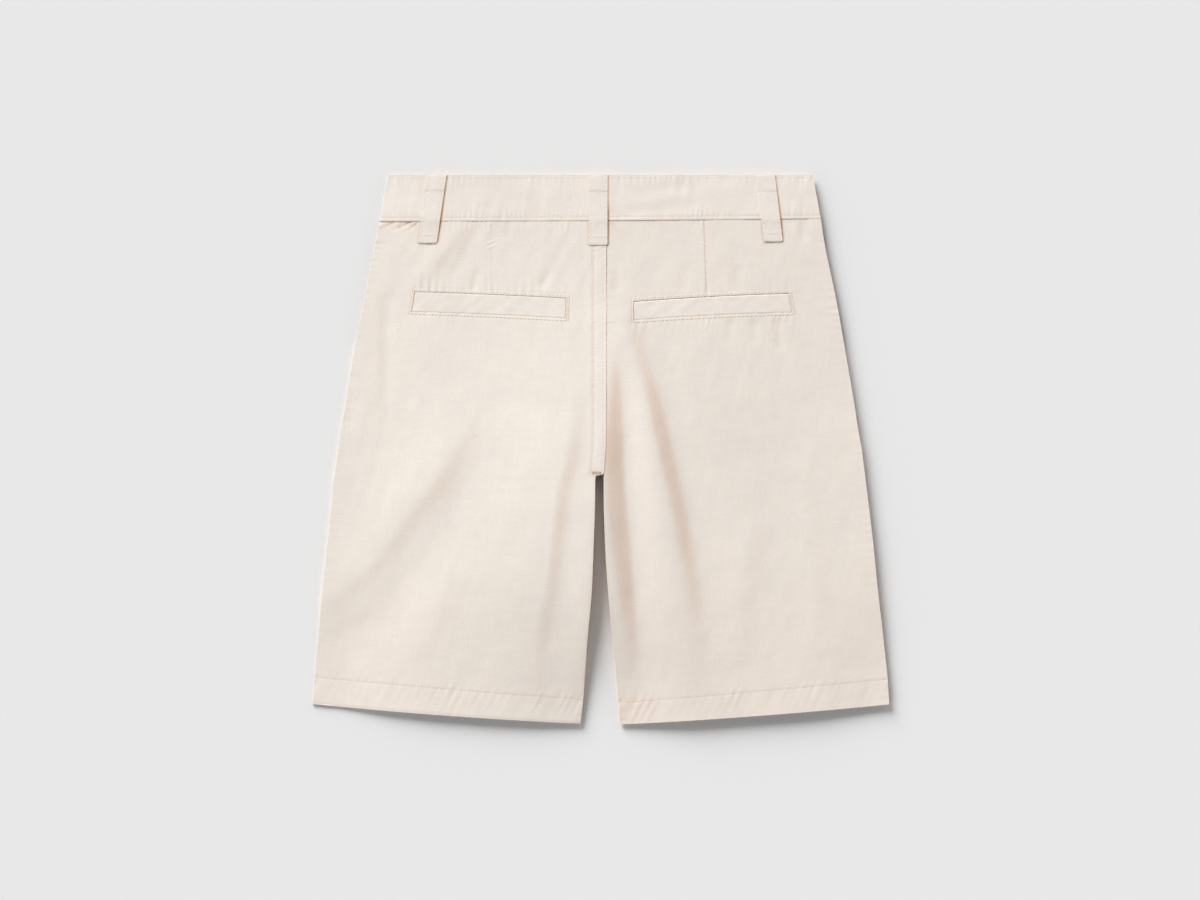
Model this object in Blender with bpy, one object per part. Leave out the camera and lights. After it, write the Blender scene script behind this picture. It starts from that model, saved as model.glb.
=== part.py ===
"""Bermuda shorts for a child, laid flat on the floor with the back up.

Each cut piece of cloth is one closed wall: the two back panels and the back waistband on top, the two
front panels and the two halves of the front waistband underneath, the welts of the back pockets set
into windows of the back panels, the belt loops and the waist button. +Z is up, the waist is at +Y, and
the wearer's left is at -X. Sizes are in millimetres and MM turns them into metres.
"""

import math
from collections import namedtuple

import bmesh
import bpy

MM = 0.001

# ---------------------------------------------------------------- driving dimensions, mm
SEAM_GAP = 0.3
PANEL_WALL = 1.5
BAND_WALL = 1.5
LOOP_WALL = 1.2
WELT_WALL = 1.2
HEM_EXTRA = 0.6          # how much thicker the turned hem is, on its inner side
HEM_ROUND = 0.5          # how far the hem's folded edge rounds down
HEM_SAG = 0.8            # how far the hem's edge bows down in its middle
FELL_RISE = 0.5          # the seat seam's lapped band stands this far above the panel
FELL_WIDTH = 10.5
FELL_STEP = 0.5          # width of the step up to that band
ROLL_RADIUS = 3.0        # side seams and inseams roll over by this much
ROLL_ANGLES = (0, 30, 60, 90)

SEAM_HEIGHT = 3.0        # where the rolled edges of back and front meet
BACK_HEIGHT = 5.2        # upper side of the back panels where no fold lifts them
BAND_STEP = 0.2          # the waistband's upper side stands this far above the panels
WELT_DROP = 0.25         # the welts lie this far below the panels
BAND_UNDER = 2.1         # underside of the front waistband, above the button and the front loops
PANEL_UNDER = 1.9        # underside of the front panels at the waist seam
LAP_RISE = 1.8           # the wearer's right front lies this far above the left one at the fly
LOOP_FOLD = 0.4          # the folded ends of a belt loop are this much thicker

# the front panels rise from the floor between these two heights on the garment
RISE_START_Y = 113.0
RISE_END_Y = 149.0
# the stack of layers at the fly lifts the middle of the back between these places
STACK_LEFT_X = (-60.0, -16.0)
STACK_RIGHT_X = (66.0, 22.0)
STACK_Y = (92.0, 145.0)
# the right front's underlap comes down to the floor between these places
LAP_X = (34.0, 20.0)
LAP_Y = (50.0, 70.0)

BUTTON_RADIUS = 7.0
BUTTON_THICKNESS = 1.8
BUTTON_CENTRE = (2.0, 184.0)
BUTTON_HOLE_RADIUS = 0.9
BUTTON_HOLE_OFFSET = 1.9  # from the button's centre to each hole's
BUTTON_HOLES = 4

# the button's section from its face to its back, in shares of its radius and thickness
BUTTON_PROFILE = (
    (0.0, 0.28), (0.60, 0.28), (0.72, 0.06), (0.80, 0.0), (0.90, 0.0), (1.0, 0.2), (1.0, 0.66),
    (0.86, 1.0), (0.0, 1.0))

# ---------------------------------------------------------------- tables, mm
# One row for each level of a panel: the side seam, the back's inner edge (seat seam above the crotch,
# inseam below it), the front's inner edge, how far the inner edge is rolled, how much of the seat
# seam's lap shows, and into how many steps the back panels divide the stretch down to the next level.
Level = namedtuple("Level", "name side_x side_y back_x inner_y front_x roll fell steps")

LEFT_LEVELS = (
    Level("waist seam", -161.5, 166.5, 4.0, 167.0, 13.0, 0.0, 0.0, 1),
    Level("loop ends", -165.0, 150.5, 4.0, 148.5, 13.0, 0.0, 0.0, 2),
    Level("pocket top", -171.5, 116.5, 4.0, 109.0, 13.0, 0.0, 1.0, 1),
    Level("pocket bottom", -174.5, 102.0, 4.0, 94.0, 13.0, 0.0, 1.0, 1),
    Level("fly low", -177.0, 89.0, 4.0, 82.0, 11.5, 0.0, 1.0, 1),
    Level("fly end", -178.5, 81.0, 4.0, 72.0, 5.5, 0.0, 1.0, 1),
    Level("seat", -180.5, 71.0, 4.0, 58.0, 4.0, 0.0, 1.0, 2),
    Level("hip", -186.0, 36.0, 4.0, 18.0, 4.0, 0.0, 1.0, 1),
    Level("rise", -190.0, 13.0, 4.0, 1.0, 4.0, 0.0, 1.0, 1),
    Level("fork", -192.0, -0.5, 2.0, -13.5, 2.0, 0.0, 0.6, 1),
    Level("crotch", -194.0, -13.5, -2.5, -21.0, -2.5, 0.7, 0.0, 1),
    Level("inseam", -196.0, -29.0, -4.0, -34.0, -4.0, 1.0, 0.0, 2),
    Level("thigh", -199.5, -66.0, -5.0, -69.5, -5.0, 1.0, 0.0, 2),
    Level("above knee", -203.0, -99.0, -6.0, -102.5, -6.0, 1.0, 0.0, 2),
    Level("knee", -206.0, -130.5, -8.5, -136.0, -8.5, 1.0, 0.0, 2),
    Level("hem seam", -209.5, -166.5, -12.5, -182.5, -12.5, 1.0, 0.0, 1),
    Level("hem edge", -211.0, -186.0, -14.5, -200.2, -14.5, 1.0, 0.0, 1),
)
RIGHT_LEVELS = (
    Level("waist seam", 161.0, 168.5, 4.5, 167.0, -13.0, 0.0, 0.0, 1),
    Level("loop ends", 163.5, 150.5, 4.5, 148.5, -13.0, 0.0, 0.0, 2),
    Level("pocket top", 171.0, 115.5, 4.5, 106.5, -13.0, 0.0, 0.0, 1),
    Level("pocket bottom", 174.0, 101.5, 4.5, 93.0, -13.0, 0.0, 0.0, 1),
    Level("fly low", 176.0, 89.0, 4.5, 82.0, -9.0, 0.0, 0.0, 1),
    Level("fly end", 177.5, 81.0, 4.5, 72.0, 6.0, 0.0, 0.0, 1),
    Level("seat", 179.0, 71.0, 4.5, 58.0, 4.5, 0.0, 0.0, 2),
    Level("hip", 185.0, 36.0, 4.5, 18.0, 4.5, 0.0, 0.0, 1),
    Level("rise", 188.5, 13.0, 4.5, 1.0, 4.5, 0.0, 0.0, 1),
    Level("fork", 191.0, -0.5, 2.5, -13.5, 2.5, 0.0, 0.0, 1),
    Level("crotch", 192.5, -13.5, 2.0, -21.0, 2.0, 0.7, 0.0, 1),
    Level("inseam", 194.5, -29.0, 2.2, -34.0, 2.2, 1.0, 0.0, 2),
    Level("thigh", 199.0, -66.0, 3.0, -69.5, 3.0, 1.0, 0.0, 2),
    Level("above knee", 202.5, -99.0, 5.5, -102.5, 5.5, 1.0, 0.0, 2),
    Level("knee", 205.5, -130.5, 8.5, -136.0, 8.5, 1.0, 0.0, 2),
    Level("hem seam", 210.0, -167.5, 13.0, -185.0, 13.0, 1.0, 0.0, 1),
    Level("hem edge", 211.0, -185.5, 14.0, -200.5, 14.0, 1.0, 0.0, 1),
)

# The largest folds of the back: ridges (height over 0) and troughs (below 0) along a line of points,
# each with the height there; width is the reach to each side.
FoldPoint = namedtuple("FoldPoint", "x y height")
FOLDS = {
    "inseam trough, right leg": (7.5, (
        FoldPoint(15.0, 47.0, -0.5), FoldPoint(16.5, 7.0, -1.3), FoldPoint(19.5, -37.0, -1.6),
        FoldPoint(22.5, -81.0, -1.5), FoldPoint(26.0, -125.0, -1.1), FoldPoint(29.0, -152.0, -0.4))),
    "seat ridge, right leg": (11.0, (
        FoldPoint(15.5, 84.0, 0.3), FoldPoint(26.0, 51.0, 0.9), FoldPoint(35.0, 14.0, 1.4),
        FoldPoint(40.0, -30.0, 1.6), FoldPoint(43.5, -73.0, 1.3), FoldPoint(46.5, -125.0, 0.7),
        FoldPoint(49.5, -150.0, 0.2))),
    "thigh trough, right leg": (14.0, (
        FoldPoint(70.0, 20.0, -0.3), FoldPoint(76.0, -37.0, -0.6), FoldPoint(81.0, -89.0, -0.2))),
    "inner ridge, left leg": (12.0, (
        FoldPoint(-28.0, 22.0, 0.4), FoldPoint(-34.5, -15.0, 0.9), FoldPoint(-40.5, -44.0, 1.1),
        FoldPoint(-50.0, -81.0, 1.0), FoldPoint(-57.0, -125.0, 0.7), FoldPoint(-61.5, -155.0, 0.2))),
    "inner trough, left leg": (8.0, (
        FoldPoint(-13.5, 14.0, -0.5), FoldPoint(-18.0, -37.0, -1.0), FoldPoint(-24.0, -81.0, -1.0),
        FoldPoint(-32.5, -125.0, -0.7), FoldPoint(-38.0, -160.0, -0.2))),
    "outer ridge, left leg": (18.0, (
        FoldPoint(-128.0, 14.0, 0.4), FoldPoint(-139.0, -8.0, 0.7), FoldPoint(-164.5, -59.0, 0.8),
        FoldPoint(-183.0, -102.0, 0.3))),
    "outer trough, left leg": (18.0, (
        FoldPoint(-84.0, -8.0, -0.4), FoldPoint(-106.0, -48.0, -0.7), FoldPoint(-135.0, -88.0, -0.7),
        FoldPoint(-161.0, -119.0, -0.3))),
}

# How far across a panel its columns stand, from its lower X to its higher one. The pocket windows
# open between the two columns named below.
BACK_LEFT_COLUMNS = (0.06, 0.125, 0.195, 0.28, 0.37, 0.46, 0.54, 0.62, 0.69, 0.75, 0.80, 0.844, 0.895, 0.935)
BACK_RIGHT_COLUMNS = (0.035, 0.07, 0.106, 0.15, 0.20, 0.26, 0.33, 0.41, 0.50, 0.60, 0.71, 0.809, 0.90)
LEFT_WINDOW = (0.195, 0.844)
RIGHT_WINDOW = (0.106, 0.809)
FRONT_LEFT_COLUMNS = (0.15, 0.3, 0.45, 0.6, 0.75, 0.9)
FRONT_RIGHT_COLUMNS = (0.06, 0.13, 0.19, 0.26, 0.40, 0.55, 0.70, 0.85)
BAND_BACK_COLUMNS = (
    0.07, 0.14, 0.21, 0.28, 0.34, 0.39, 0.44, 0.48, 0.53, 0.57, 0.62, 0.67, 0.73, 0.80, 0.87, 0.94)
BAND_LEFT_COLUMNS = (0.2, 0.4, 0.6, 0.8)
BAND_RIGHT_COLUMNS = (0.06, 0.13, 0.19, 0.26, 0.45, 0.65, 0.85)
WELT_COLUMNS = (0.12, 0.25, 0.38, 0.5, 0.62, 0.75, 0.88)

# Belt loops: the middle of the top end, the middle of the bottom end, and the width.
Loop = namedtuple("Loop", "name top bottom width")
BACK_LOOPS = (
    Loop("belt_loop_back_left", (-119.0, 200.2), (-126.5, 150.5), 13.6),
    Loop("belt_loop_back_centre", (-1.6, 200.2), (-1.8, 149.0), 13.6),
    Loop("belt_loop_back_right", (121.2, 200.2), (127.0, 151.5), 12.8),
)
FRONT_LOOPS = (
    Loop("belt_loop_front_left", (-80.0, 200.2), (-82.0, 151.0), 13.4),
    Loop("belt_loop_front_right", (80.0, 200.2), (82.0, 151.0), 13.4),
)
# how far down a belt loop each of its rows is, and whether the loop is folded double there
LOOP_STATIONS = ((0.0, 1), (0.2, 1), (0.23, 0), (0.54, 0), (0.67, 0), (0.84, 0), (0.87, 1), (1.0, 1))

# Rows of the turned hem: share of its height, how far the outer side rounds down, how much thicker.
HEM_STATIONS = (
    (0.0, 0.0, 0.0), (0.08, 0.0, HEM_EXTRA), (0.93, 0.0, HEM_EXTRA),
    (1.0, HEM_ROUND, HEM_EXTRA - 2.0 * HEM_ROUND))

# The waistband's top edge, and its rows: share of its height, and how far the outer side rounds down.
BAND_TOP_LEFT = (-155.5, 200.5)
BAND_TOP_RIGHT = (155.1, 200.5)
BAND_STATIONS = ((0.0, 0.0), (0.08, 0.0), (0.94, 0.0), (1.0, 0.45))
BAND_SAG = 0.5           # the waist seam bows down by this much in its middle
BUTTONHOLE_END_X = 13.0  # end of the wearer's left half, which laps over the right half outside
BUTTON_END_X = -13.0     # end of the wearer's right half

# One cross row of a wall: its two ends, how far each end is rolled, how far the outer side stands out,
# how much thicker the wall is, how far its middle sags in Y, and how much of the seat lap it carries.
Row = namedtuple("Row", "left right left_roll right_roll lift extra sag fell")
# One column of a wall. A "mid" column stands at a share of the width, "left" and "right" ones at an
# angle of that end's roll, and an "inset" one at a distance in from the right end. on_lap is 1 on the
# seat seam's lap.
Column = namedtuple("Column", "kind value on_lap")

CLOTH_COLOUR = (0.82, 0.75, 0.68, 1.0)
CLOTH_ROUGHNESS = 0.9
BUTTON_COLOUR = (0.62, 0.53, 0.42, 1.0)
BUTTON_ROUGHNESS = 0.35


# ---------------------------------------------------------------- small helpers
def smooth(t):
    """Ease from 0 to 1."""
    t = min(1.0, max(0.0, t))
    return t * t * (3.0 - 2.0 * t)


def ramp(value, start, end):
    """Ease from 0 at start to 1 at end, in either direction."""
    return smooth((value - start) / (end - start))


def mix(a, b, t):
    return a + (b - a) * t


def mix_point(a, b, t):
    return mix(a[0], b[0], t), mix(a[1], b[1], t)


# ---------------------------------------------------------------- heights
def fold_height(x, y):
    """The sum of all folds at a point of the back."""
    return sum(one_fold_height(x, y, width, points) for width, points in FOLDS.values())


def one_fold_height(x, y, width, points):
    """Height of one fold, falling off with the distance from its line and past its ends."""
    nearest = None
    for a, b in zip(points, points[1:]):
        dx = b.x - a.x
        dy = b.y - a.y
        t = ((x - a.x) * dx + (y - a.y) * dy) / (dx * dx + dy * dy)
        t = min(1.0, max(0.0, t))
        distance = math.hypot(x - mix(a.x, b.x, t), y - mix(a.y, b.y, t))
        if nearest is None or distance < nearest[0]:
            nearest = (distance, mix(a.height, b.height, t))
    distance, height = nearest
    return height * math.exp(-(distance / width) ** 2)


def stack_height(x, y):
    """How far the layers of the fly lift the back above them."""
    across = ramp(x, *STACK_LEFT_X) * ramp(x, *STACK_RIGHT_X)
    return LAP_RISE * across * ramp(y, *STACK_Y)


def back_panel_height(x, y):
    return BACK_HEIGHT + stack_height(x, y) + fold_height(x, y)


def back_band_height(x, y):
    return BACK_HEIGHT + BAND_STEP + stack_height(x, y)


def loop_height(x, y):
    """Outer side of a back loop, which lies on the waistband and, below it, on the panel."""
    on_band = y > LEFT_LEVELS[0].inner_y
    under = back_band_height(x, y) if on_band else back_panel_height(x, y)
    return under + SEAM_GAP + LOOP_WALL


def welt_height(x, y):
    return back_panel_height(x, y) - WELT_DROP


def front_rise(y):
    return PANEL_UNDER * ramp(y, RISE_START_Y, RISE_END_Y)


def lap_height(x, y):
    """How far the wearer's right front is lifted where it passes over the left one."""
    return LAP_RISE * ramp(x, *LAP_X) * ramp(y, *LAP_Y)


def front_left_height(x, y):
    return front_rise(y)


def front_right_height(x, y):
    return front_rise(y) + lap_height(x, y)


def band_left_height(x, y):
    return BAND_UNDER


def band_right_height(x, y):
    return BAND_UNDER + lap_height(x, y)


def floor_height(x, y):
    return 0.0


def seam_height(y):
    """Where the rolled edges of back and front meet: higher beside the waistband."""
    return mix(SEAM_HEIGHT, BAND_UNDER + BAND_WALL + 0.5 * SEAM_GAP, ramp(y, RISE_START_Y, RISE_END_Y))


# ---------------------------------------------------------------- walls
def place_in_row(row, column, wall):
    """Outer and inner (x, y) of one point of a wall, and the roll that applies there."""
    length = math.dist(row.left, row.right)
    roll = 0.0
    if column.kind == "mid":
        outer = inner = mix(ROLL_RADIUS, length - ROLL_RADIUS, column.value)
    elif column.kind == "inset":
        outer = inner = length - column.value
    else:
        roll = row.left_roll if column.kind == "left" else row.right_roll
        outer = ROLL_RADIUS * (1.0 - math.cos(column.value))
        inner = outer + roll * wall * math.cos(column.value)
        if column.kind == "right":
            outer = length - outer
            inner = length - inner
    return place_along(row, outer / length), place_along(row, inner / length), roll


def place_along(row, t):
    x, y = mix_point(row.left, row.right, t)
    return x, y - row.sag * 4.0 * t * (1.0 - t)


def wall_point(row, column, wall, outer_height, outward):
    """Outer and inner 3-D point of a wall at one row and column. outward is 1 on top, -1 beneath."""
    outer, inner, roll = place_in_row(row, column, wall)
    height = outer_height(*outer) + outward * (row.lift + FELL_RISE * row.fell * column.on_lap)
    inner_height = height - outward * (wall + row.extra)
    if roll > 0.0:
        meet = seam_height(outer[1]) + outward * 0.5 * SEAM_GAP
        height = mix(height, mix(meet, height, math.sin(column.value)), roll)
        inner_height = mix(inner_height, mix(meet, inner_height, math.sin(column.value)), roll)
    return (*outer, height), (*inner, inner_height)


def wall_mesh(rows, columns, wall, outer_height, outward, window=frozenset()):
    """Closed wall over a grid of rows and columns. window holds the (row, column) cells left open."""
    bm = bmesh.new()
    outer = []
    inner = []
    for row in rows:
        pairs = [wall_point(row, column, wall, outer_height, outward) for column in columns]
        outer.append([bm.verts.new([c * MM for c in pair[0]]) for pair in pairs])
        inner.append([bm.verts.new([c * MM for c in pair[1]]) for pair in pairs])
    grid = {(i, j) for i in range(len(rows) - 1) for j in range(len(columns) - 1)}
    cells = grid - window
    for i, j in sorted(cells):
        for sheet in (outer, inner):
            bm.faces.new((sheet[i][j], sheet[i][j + 1], sheet[i + 1][j + 1], sheet[i + 1][j]))
        edges = (
            ((i - 1, j), (i, j), (i, j + 1)),
            ((i + 1, j), (i + 1, j), (i + 1, j + 1)),
            ((i, j - 1), (i, j), (i + 1, j)),
            ((i, j + 1), (i, j + 1), (i + 1, j + 1)),
        )
        for neighbour, a, b in edges:
            if neighbour not in cells:
                bm.faces.new((outer[a[0]][a[1]], outer[b[0]][b[1]], inner[b[0]][b[1]], inner[a[0]][a[1]]))
    loose = [vert for vert in bm.verts if not vert.link_faces]
    bmesh.ops.delete(bm, geom=loose, context="VERTS")
    bmesh.ops.recalc_face_normals(bm, faces=bm.faces)
    return bm


def rolled_columns(kind, on_lap=0):
    """The columns of a rolled end, in order of X."""
    columns = [Column(kind, math.radians(angle), on_lap) for angle in ROLL_ANGLES]
    return columns if kind == "left" else columns[::-1]


def shared_columns(shares):
    return [Column("mid", share, 0) for share in shares]


def end_column(kind):
    return [Column(kind, 0.0, 0)]


def panel_rows(levels, inner_edge, fine):
    """Rows of a panel from its levels, with the hem's fold at the lower end."""
    rows = []
    for upper, lower in zip(levels[:-1], levels[1:-1]):
        steps = upper.steps if fine else 1
        rows += [level_row(upper, lower, i / steps, inner_edge) for i in range(steps)]
    seam, edge = levels[-2:]
    for share, rounding, extra in HEM_STATIONS:
        rows.append(level_row(seam, edge, share, inner_edge, -rounding, extra))
    return rows


def level_row(upper, lower, t, inner_edge, lift=0.0, extra=0.0):
    """One row between two levels, running from its lower X to its higher one."""
    side = mix_point((upper.side_x, upper.side_y), (lower.side_x, lower.side_y), t)
    middle_x = mix(getattr(upper, inner_edge), getattr(lower, inner_edge), t)
    middle = (middle_x, mix(upper.inner_y, lower.inner_y, t))
    roll = mix(upper.roll, lower.roll, t)
    fell = mix(upper.fell, lower.fell, t)
    sag = HEM_SAG * t if lower.name == "hem edge" else 0.0
    if side[0] < middle[0]:
        return Row(side, middle, 1.0, roll, lift, extra, sag, fell)
    return Row(middle, side, roll, 1.0, lift, extra, sag, fell)


def band_rows(seam_left, seam_right, top_left, top_right, left_roll, right_roll, sag):
    rows = []
    for share, rounding in BAND_STATIONS:
        left = mix_point(seam_left, top_left, share)
        right = mix_point(seam_right, top_right, share)
        bow = sag * (1.0 - share)
        rows.append(Row(left, right, left_roll, right_roll, -rounding, -2.0 * rounding, bow, 0.0))
    return rows


# ---------------------------------------------------------------- objects
def make_material(name, colour, roughness):
    material = bpy.data.materials.new(name)
    material.use_nodes = True
    shader = material.node_tree.nodes["Principled BSDF"]
    shader.inputs["Base Color"].default_value = colour
    shader.inputs["Roughness"].default_value = roughness
    shader.inputs["Metallic"].default_value = 0.0
    material.diffuse_color = colour
    return material


def add_object(name, bm, parent, colour=CLOTH_COLOUR, roughness=CLOTH_ROUGHNESS):
    mesh = bpy.data.meshes.new(name)
    bm.to_mesh(mesh)
    bm.free()
    mesh.materials.append(make_material(name, colour, roughness))
    obj = bpy.data.objects.new(name, mesh)
    bpy.context.scene.collection.objects.link(obj)
    obj.parent = parent
    return obj


def make_back_panel(side, levels, shares, window, parent):
    """A back panel, and the welt that fills its pocket's window."""
    rows = panel_rows(levels, "back_x", True)
    columns = rolled_columns("left") + shared_columns(shares)
    if side == "left":
        columns.append(Column("inset", FELL_WIDTH + FELL_STEP, 0))
        columns.append(Column("inset", FELL_WIDTH, 1))
        columns += rolled_columns("right", 1)
    else:
        columns += rolled_columns("right")
    cells = window_cells(rows, columns, levels, window)
    bm = wall_mesh(rows, columns, PANEL_WALL, back_panel_height, 1, cells)
    add_object("back_panel_" + side, bm, parent)
    make_welt(side, rows, columns, cells, parent)


def window_cells(rows, columns, levels, window):
    """Cells between the pocket's two levels and between the window's two columns."""
    top = next(level for level in levels if level.name == "pocket top")
    corner = (top.side_x, top.side_y)
    i = next(k for k, row in enumerate(rows) if corner in (row.left, row.right))
    shares = [column.value if column.kind == "mid" else None for column in columns]
    return frozenset((i, j) for j in range(shares.index(window[0]), shares.index(window[1])))


def make_welt(side, rows, columns, cells, parent):
    """The welt lies in its window, clear of it by the seam gap and by twice that at the mouth."""
    i = min(cell[0] for cell in cells)
    first = columns[min(cell[1] for cell in cells)]
    last = columns[max(cell[1] for cell in cells) + 1]
    welt_rows = []
    for row, drop in ((rows[i], 2.0 * SEAM_GAP), (rows[i + 1], -SEAM_GAP)):
        left = place_in_row(row, first, WELT_WALL)[0]
        right = place_in_row(row, last, WELT_WALL)[0]
        left = (left[0] + SEAM_GAP, left[1] - drop)
        right = (right[0] - SEAM_GAP, right[1] - drop)
        welt_rows.append(Row(left, right, 0.0, 0.0, 0.0, 0.0, 0.0, 0.0))
    welt_columns = end_column("left") + shared_columns(WELT_COLUMNS) + end_column("right")
    bm = wall_mesh(welt_rows, welt_columns, WELT_WALL, welt_height, 1)
    add_object("pocket_welt_" + side, bm, parent)


def make_front_panel(side, levels, shares, outer_height, parent):
    rows = panel_rows(levels, "front_x", False)
    columns = rolled_columns("left") + shared_columns(shares) + rolled_columns("right")
    bm = wall_mesh(rows, columns, PANEL_WALL, outer_height, -1)
    add_object("front_panel_" + side, bm, parent)


def seam_point(x, y):
    """A point of the waist seam on the waistband's side of the gap."""
    return x, y + SEAM_GAP


def make_waistbands(parent):
    left = LEFT_LEVELS[0]
    right = RIGHT_LEVELS[0]
    left_seam = seam_point(left.side_x, left.side_y)
    right_seam = seam_point(right.side_x, right.side_y)

    rows = band_rows(left_seam, right_seam, BAND_TOP_LEFT, BAND_TOP_RIGHT, 1.0, 1.0, BAND_SAG)
    columns = rolled_columns("left") + shared_columns(BAND_BACK_COLUMNS) + rolled_columns("right")
    add_object("waistband_back", wall_mesh(rows, columns, BAND_WALL, back_band_height, 1), parent)

    seam_end = seam_point(BUTTONHOLE_END_X, left.inner_y)
    top_end = (BUTTONHOLE_END_X, BAND_TOP_LEFT[1])
    rows = band_rows(left_seam, seam_end, BAND_TOP_LEFT, top_end, 1.0, 0.0, 0.0)
    columns = rolled_columns("left") + shared_columns(BAND_LEFT_COLUMNS) + end_column("right")
    add_object("waistband_front_left", wall_mesh(rows, columns, BAND_WALL, band_left_height, -1), parent)

    seam_end = seam_point(BUTTON_END_X, right.inner_y)
    top_end = (BUTTON_END_X, BAND_TOP_RIGHT[1])
    rows = band_rows(seam_end, right_seam, top_end, BAND_TOP_RIGHT, 0.0, 1.0, 0.0)
    columns = end_column("left") + shared_columns(BAND_RIGHT_COLUMNS) + rolled_columns("right")
    add_object("waistband_front_right", wall_mesh(rows, columns, BAND_WALL, band_right_height, -1), parent)


def make_loop(loop, outer_height, outward, parent):
    """A belt loop, thicker at its two folded ends: outwards on the back, inwards beneath the front."""
    rows = []
    for share, folded in LOOP_STATIONS:
        x, y = mix_point(loop.top, loop.bottom, share)
        lift = LOOP_FOLD * folded if outward > 0 else 0.0
        left = (x - 0.5 * loop.width, y)
        right = (x + 0.5 * loop.width, y)
        rows.append(Row(left, right, 0.0, 0.0, lift, LOOP_FOLD * folded, 0.0, 0.0))
    columns = end_column("left") + end_column("right")
    add_object(loop.name, wall_mesh(rows, columns, LOOP_WALL, outer_height, outward), parent)


def make_button(parent):
    """A round button with a raised rim and four holes, lying face down on the floor."""
    bm = bmesh.new()
    verts = [
        bm.verts.new((radius * BUTTON_RADIUS * MM, 0.0, height * BUTTON_THICKNESS * MM))
        for radius, height in BUTTON_PROFILE]
    edges = [bm.edges.new(pair) for pair in zip(verts, verts[1:])]
    bmesh.ops.spin(
        bm, geom=verts + edges, axis=(0.0, 0.0, 1.0), cent=(0.0, 0.0, 0.0), angle=2.0 * math.pi,
        steps=24, use_merge=True)
    bmesh.ops.remove_doubles(bm, verts=bm.verts, dist=0.01 * MM)
    bmesh.ops.recalc_face_normals(bm, faces=bm.faces)
    button = add_object("waist_button", bm, parent, BUTTON_COLOUR, BUTTON_ROUGHNESS)
    button.location = (BUTTON_CENTRE[0] * MM, BUTTON_CENTRE[1] * MM, 0.0)
    drill_button(button, parent)


def drill_button(button, parent):
    """Cut the four sewing holes."""
    bm = bmesh.new()
    for i in range(BUTTON_HOLES):
        angle = 2.0 * math.pi * (i + 0.5) / BUTTON_HOLES
        hole = bmesh.ops.create_cone(
            bm, cap_ends=True, segments=10, depth=4.0 * BUTTON_THICKNESS * MM,
            radius1=BUTTON_HOLE_RADIUS * MM, radius2=BUTTON_HOLE_RADIUS * MM)
        offset = BUTTON_HOLE_OFFSET * MM
        place = (offset * math.cos(angle), offset * math.sin(angle), 0.0)
        bmesh.ops.translate(bm, vec=place, verts=hole["verts"])
    cutter = add_object("button_hole_cutter", bm, parent)
    cutter.location = button.location
    cutter.hide_render = True
    cutter.display_type = "WIRE"
    cut = button.modifiers.new("sewing holes", "BOOLEAN")
    cut.operation = "DIFFERENCE"
    cut.object = cutter


def main():
    for obj in list(bpy.data.objects):
        bpy.data.objects.remove(obj)
    shorts = bpy.data.objects.new("bermuda_shorts", None)
    bpy.context.scene.collection.objects.link(shorts)
    make_back_panel("left", LEFT_LEVELS, BACK_LEFT_COLUMNS, LEFT_WINDOW, shorts)
    make_back_panel("right", RIGHT_LEVELS, BACK_RIGHT_COLUMNS, RIGHT_WINDOW, shorts)
    make_front_panel("left", LEFT_LEVELS, FRONT_LEFT_COLUMNS, front_left_height, shorts)
    make_front_panel("right", RIGHT_LEVELS, FRONT_RIGHT_COLUMNS, front_right_height, shorts)
    make_waistbands(shorts)
    for loop in BACK_LOOPS:
        make_loop(loop, loop_height, 1, shorts)
    for loop in FRONT_LOOPS:
        make_loop(loop, floor_height, -1, shorts)
    make_button(shorts)


main()
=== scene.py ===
"""Looks of a child's bermuda shorts in cream cotton twill, laid flat with the back up.

Every cut piece is a thin shell of cloth on its solid's form, with its creases, puckered seams and rows
of topstitching. Lengths are in millimetres in the garment's own frame (+Z up, waist at +Y, the wearer's
left at -X), and MM turns them into metres when a mesh is made.
"""

import math
from collections import namedtuple

import bpy
import numpy as np
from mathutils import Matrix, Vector


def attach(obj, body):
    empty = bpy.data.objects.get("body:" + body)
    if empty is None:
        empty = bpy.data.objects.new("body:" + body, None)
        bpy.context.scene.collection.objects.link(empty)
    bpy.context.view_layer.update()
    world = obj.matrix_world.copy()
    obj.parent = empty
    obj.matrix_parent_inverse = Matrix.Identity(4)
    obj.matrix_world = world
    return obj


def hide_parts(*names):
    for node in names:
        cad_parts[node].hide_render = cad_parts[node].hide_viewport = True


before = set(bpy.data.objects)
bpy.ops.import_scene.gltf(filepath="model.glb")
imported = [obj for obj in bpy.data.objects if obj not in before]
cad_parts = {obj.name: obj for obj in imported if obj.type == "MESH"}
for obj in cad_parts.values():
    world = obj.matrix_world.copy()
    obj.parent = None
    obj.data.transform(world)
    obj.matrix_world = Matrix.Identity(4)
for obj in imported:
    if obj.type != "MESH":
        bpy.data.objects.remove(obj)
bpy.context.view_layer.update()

MM = 0.001

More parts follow.
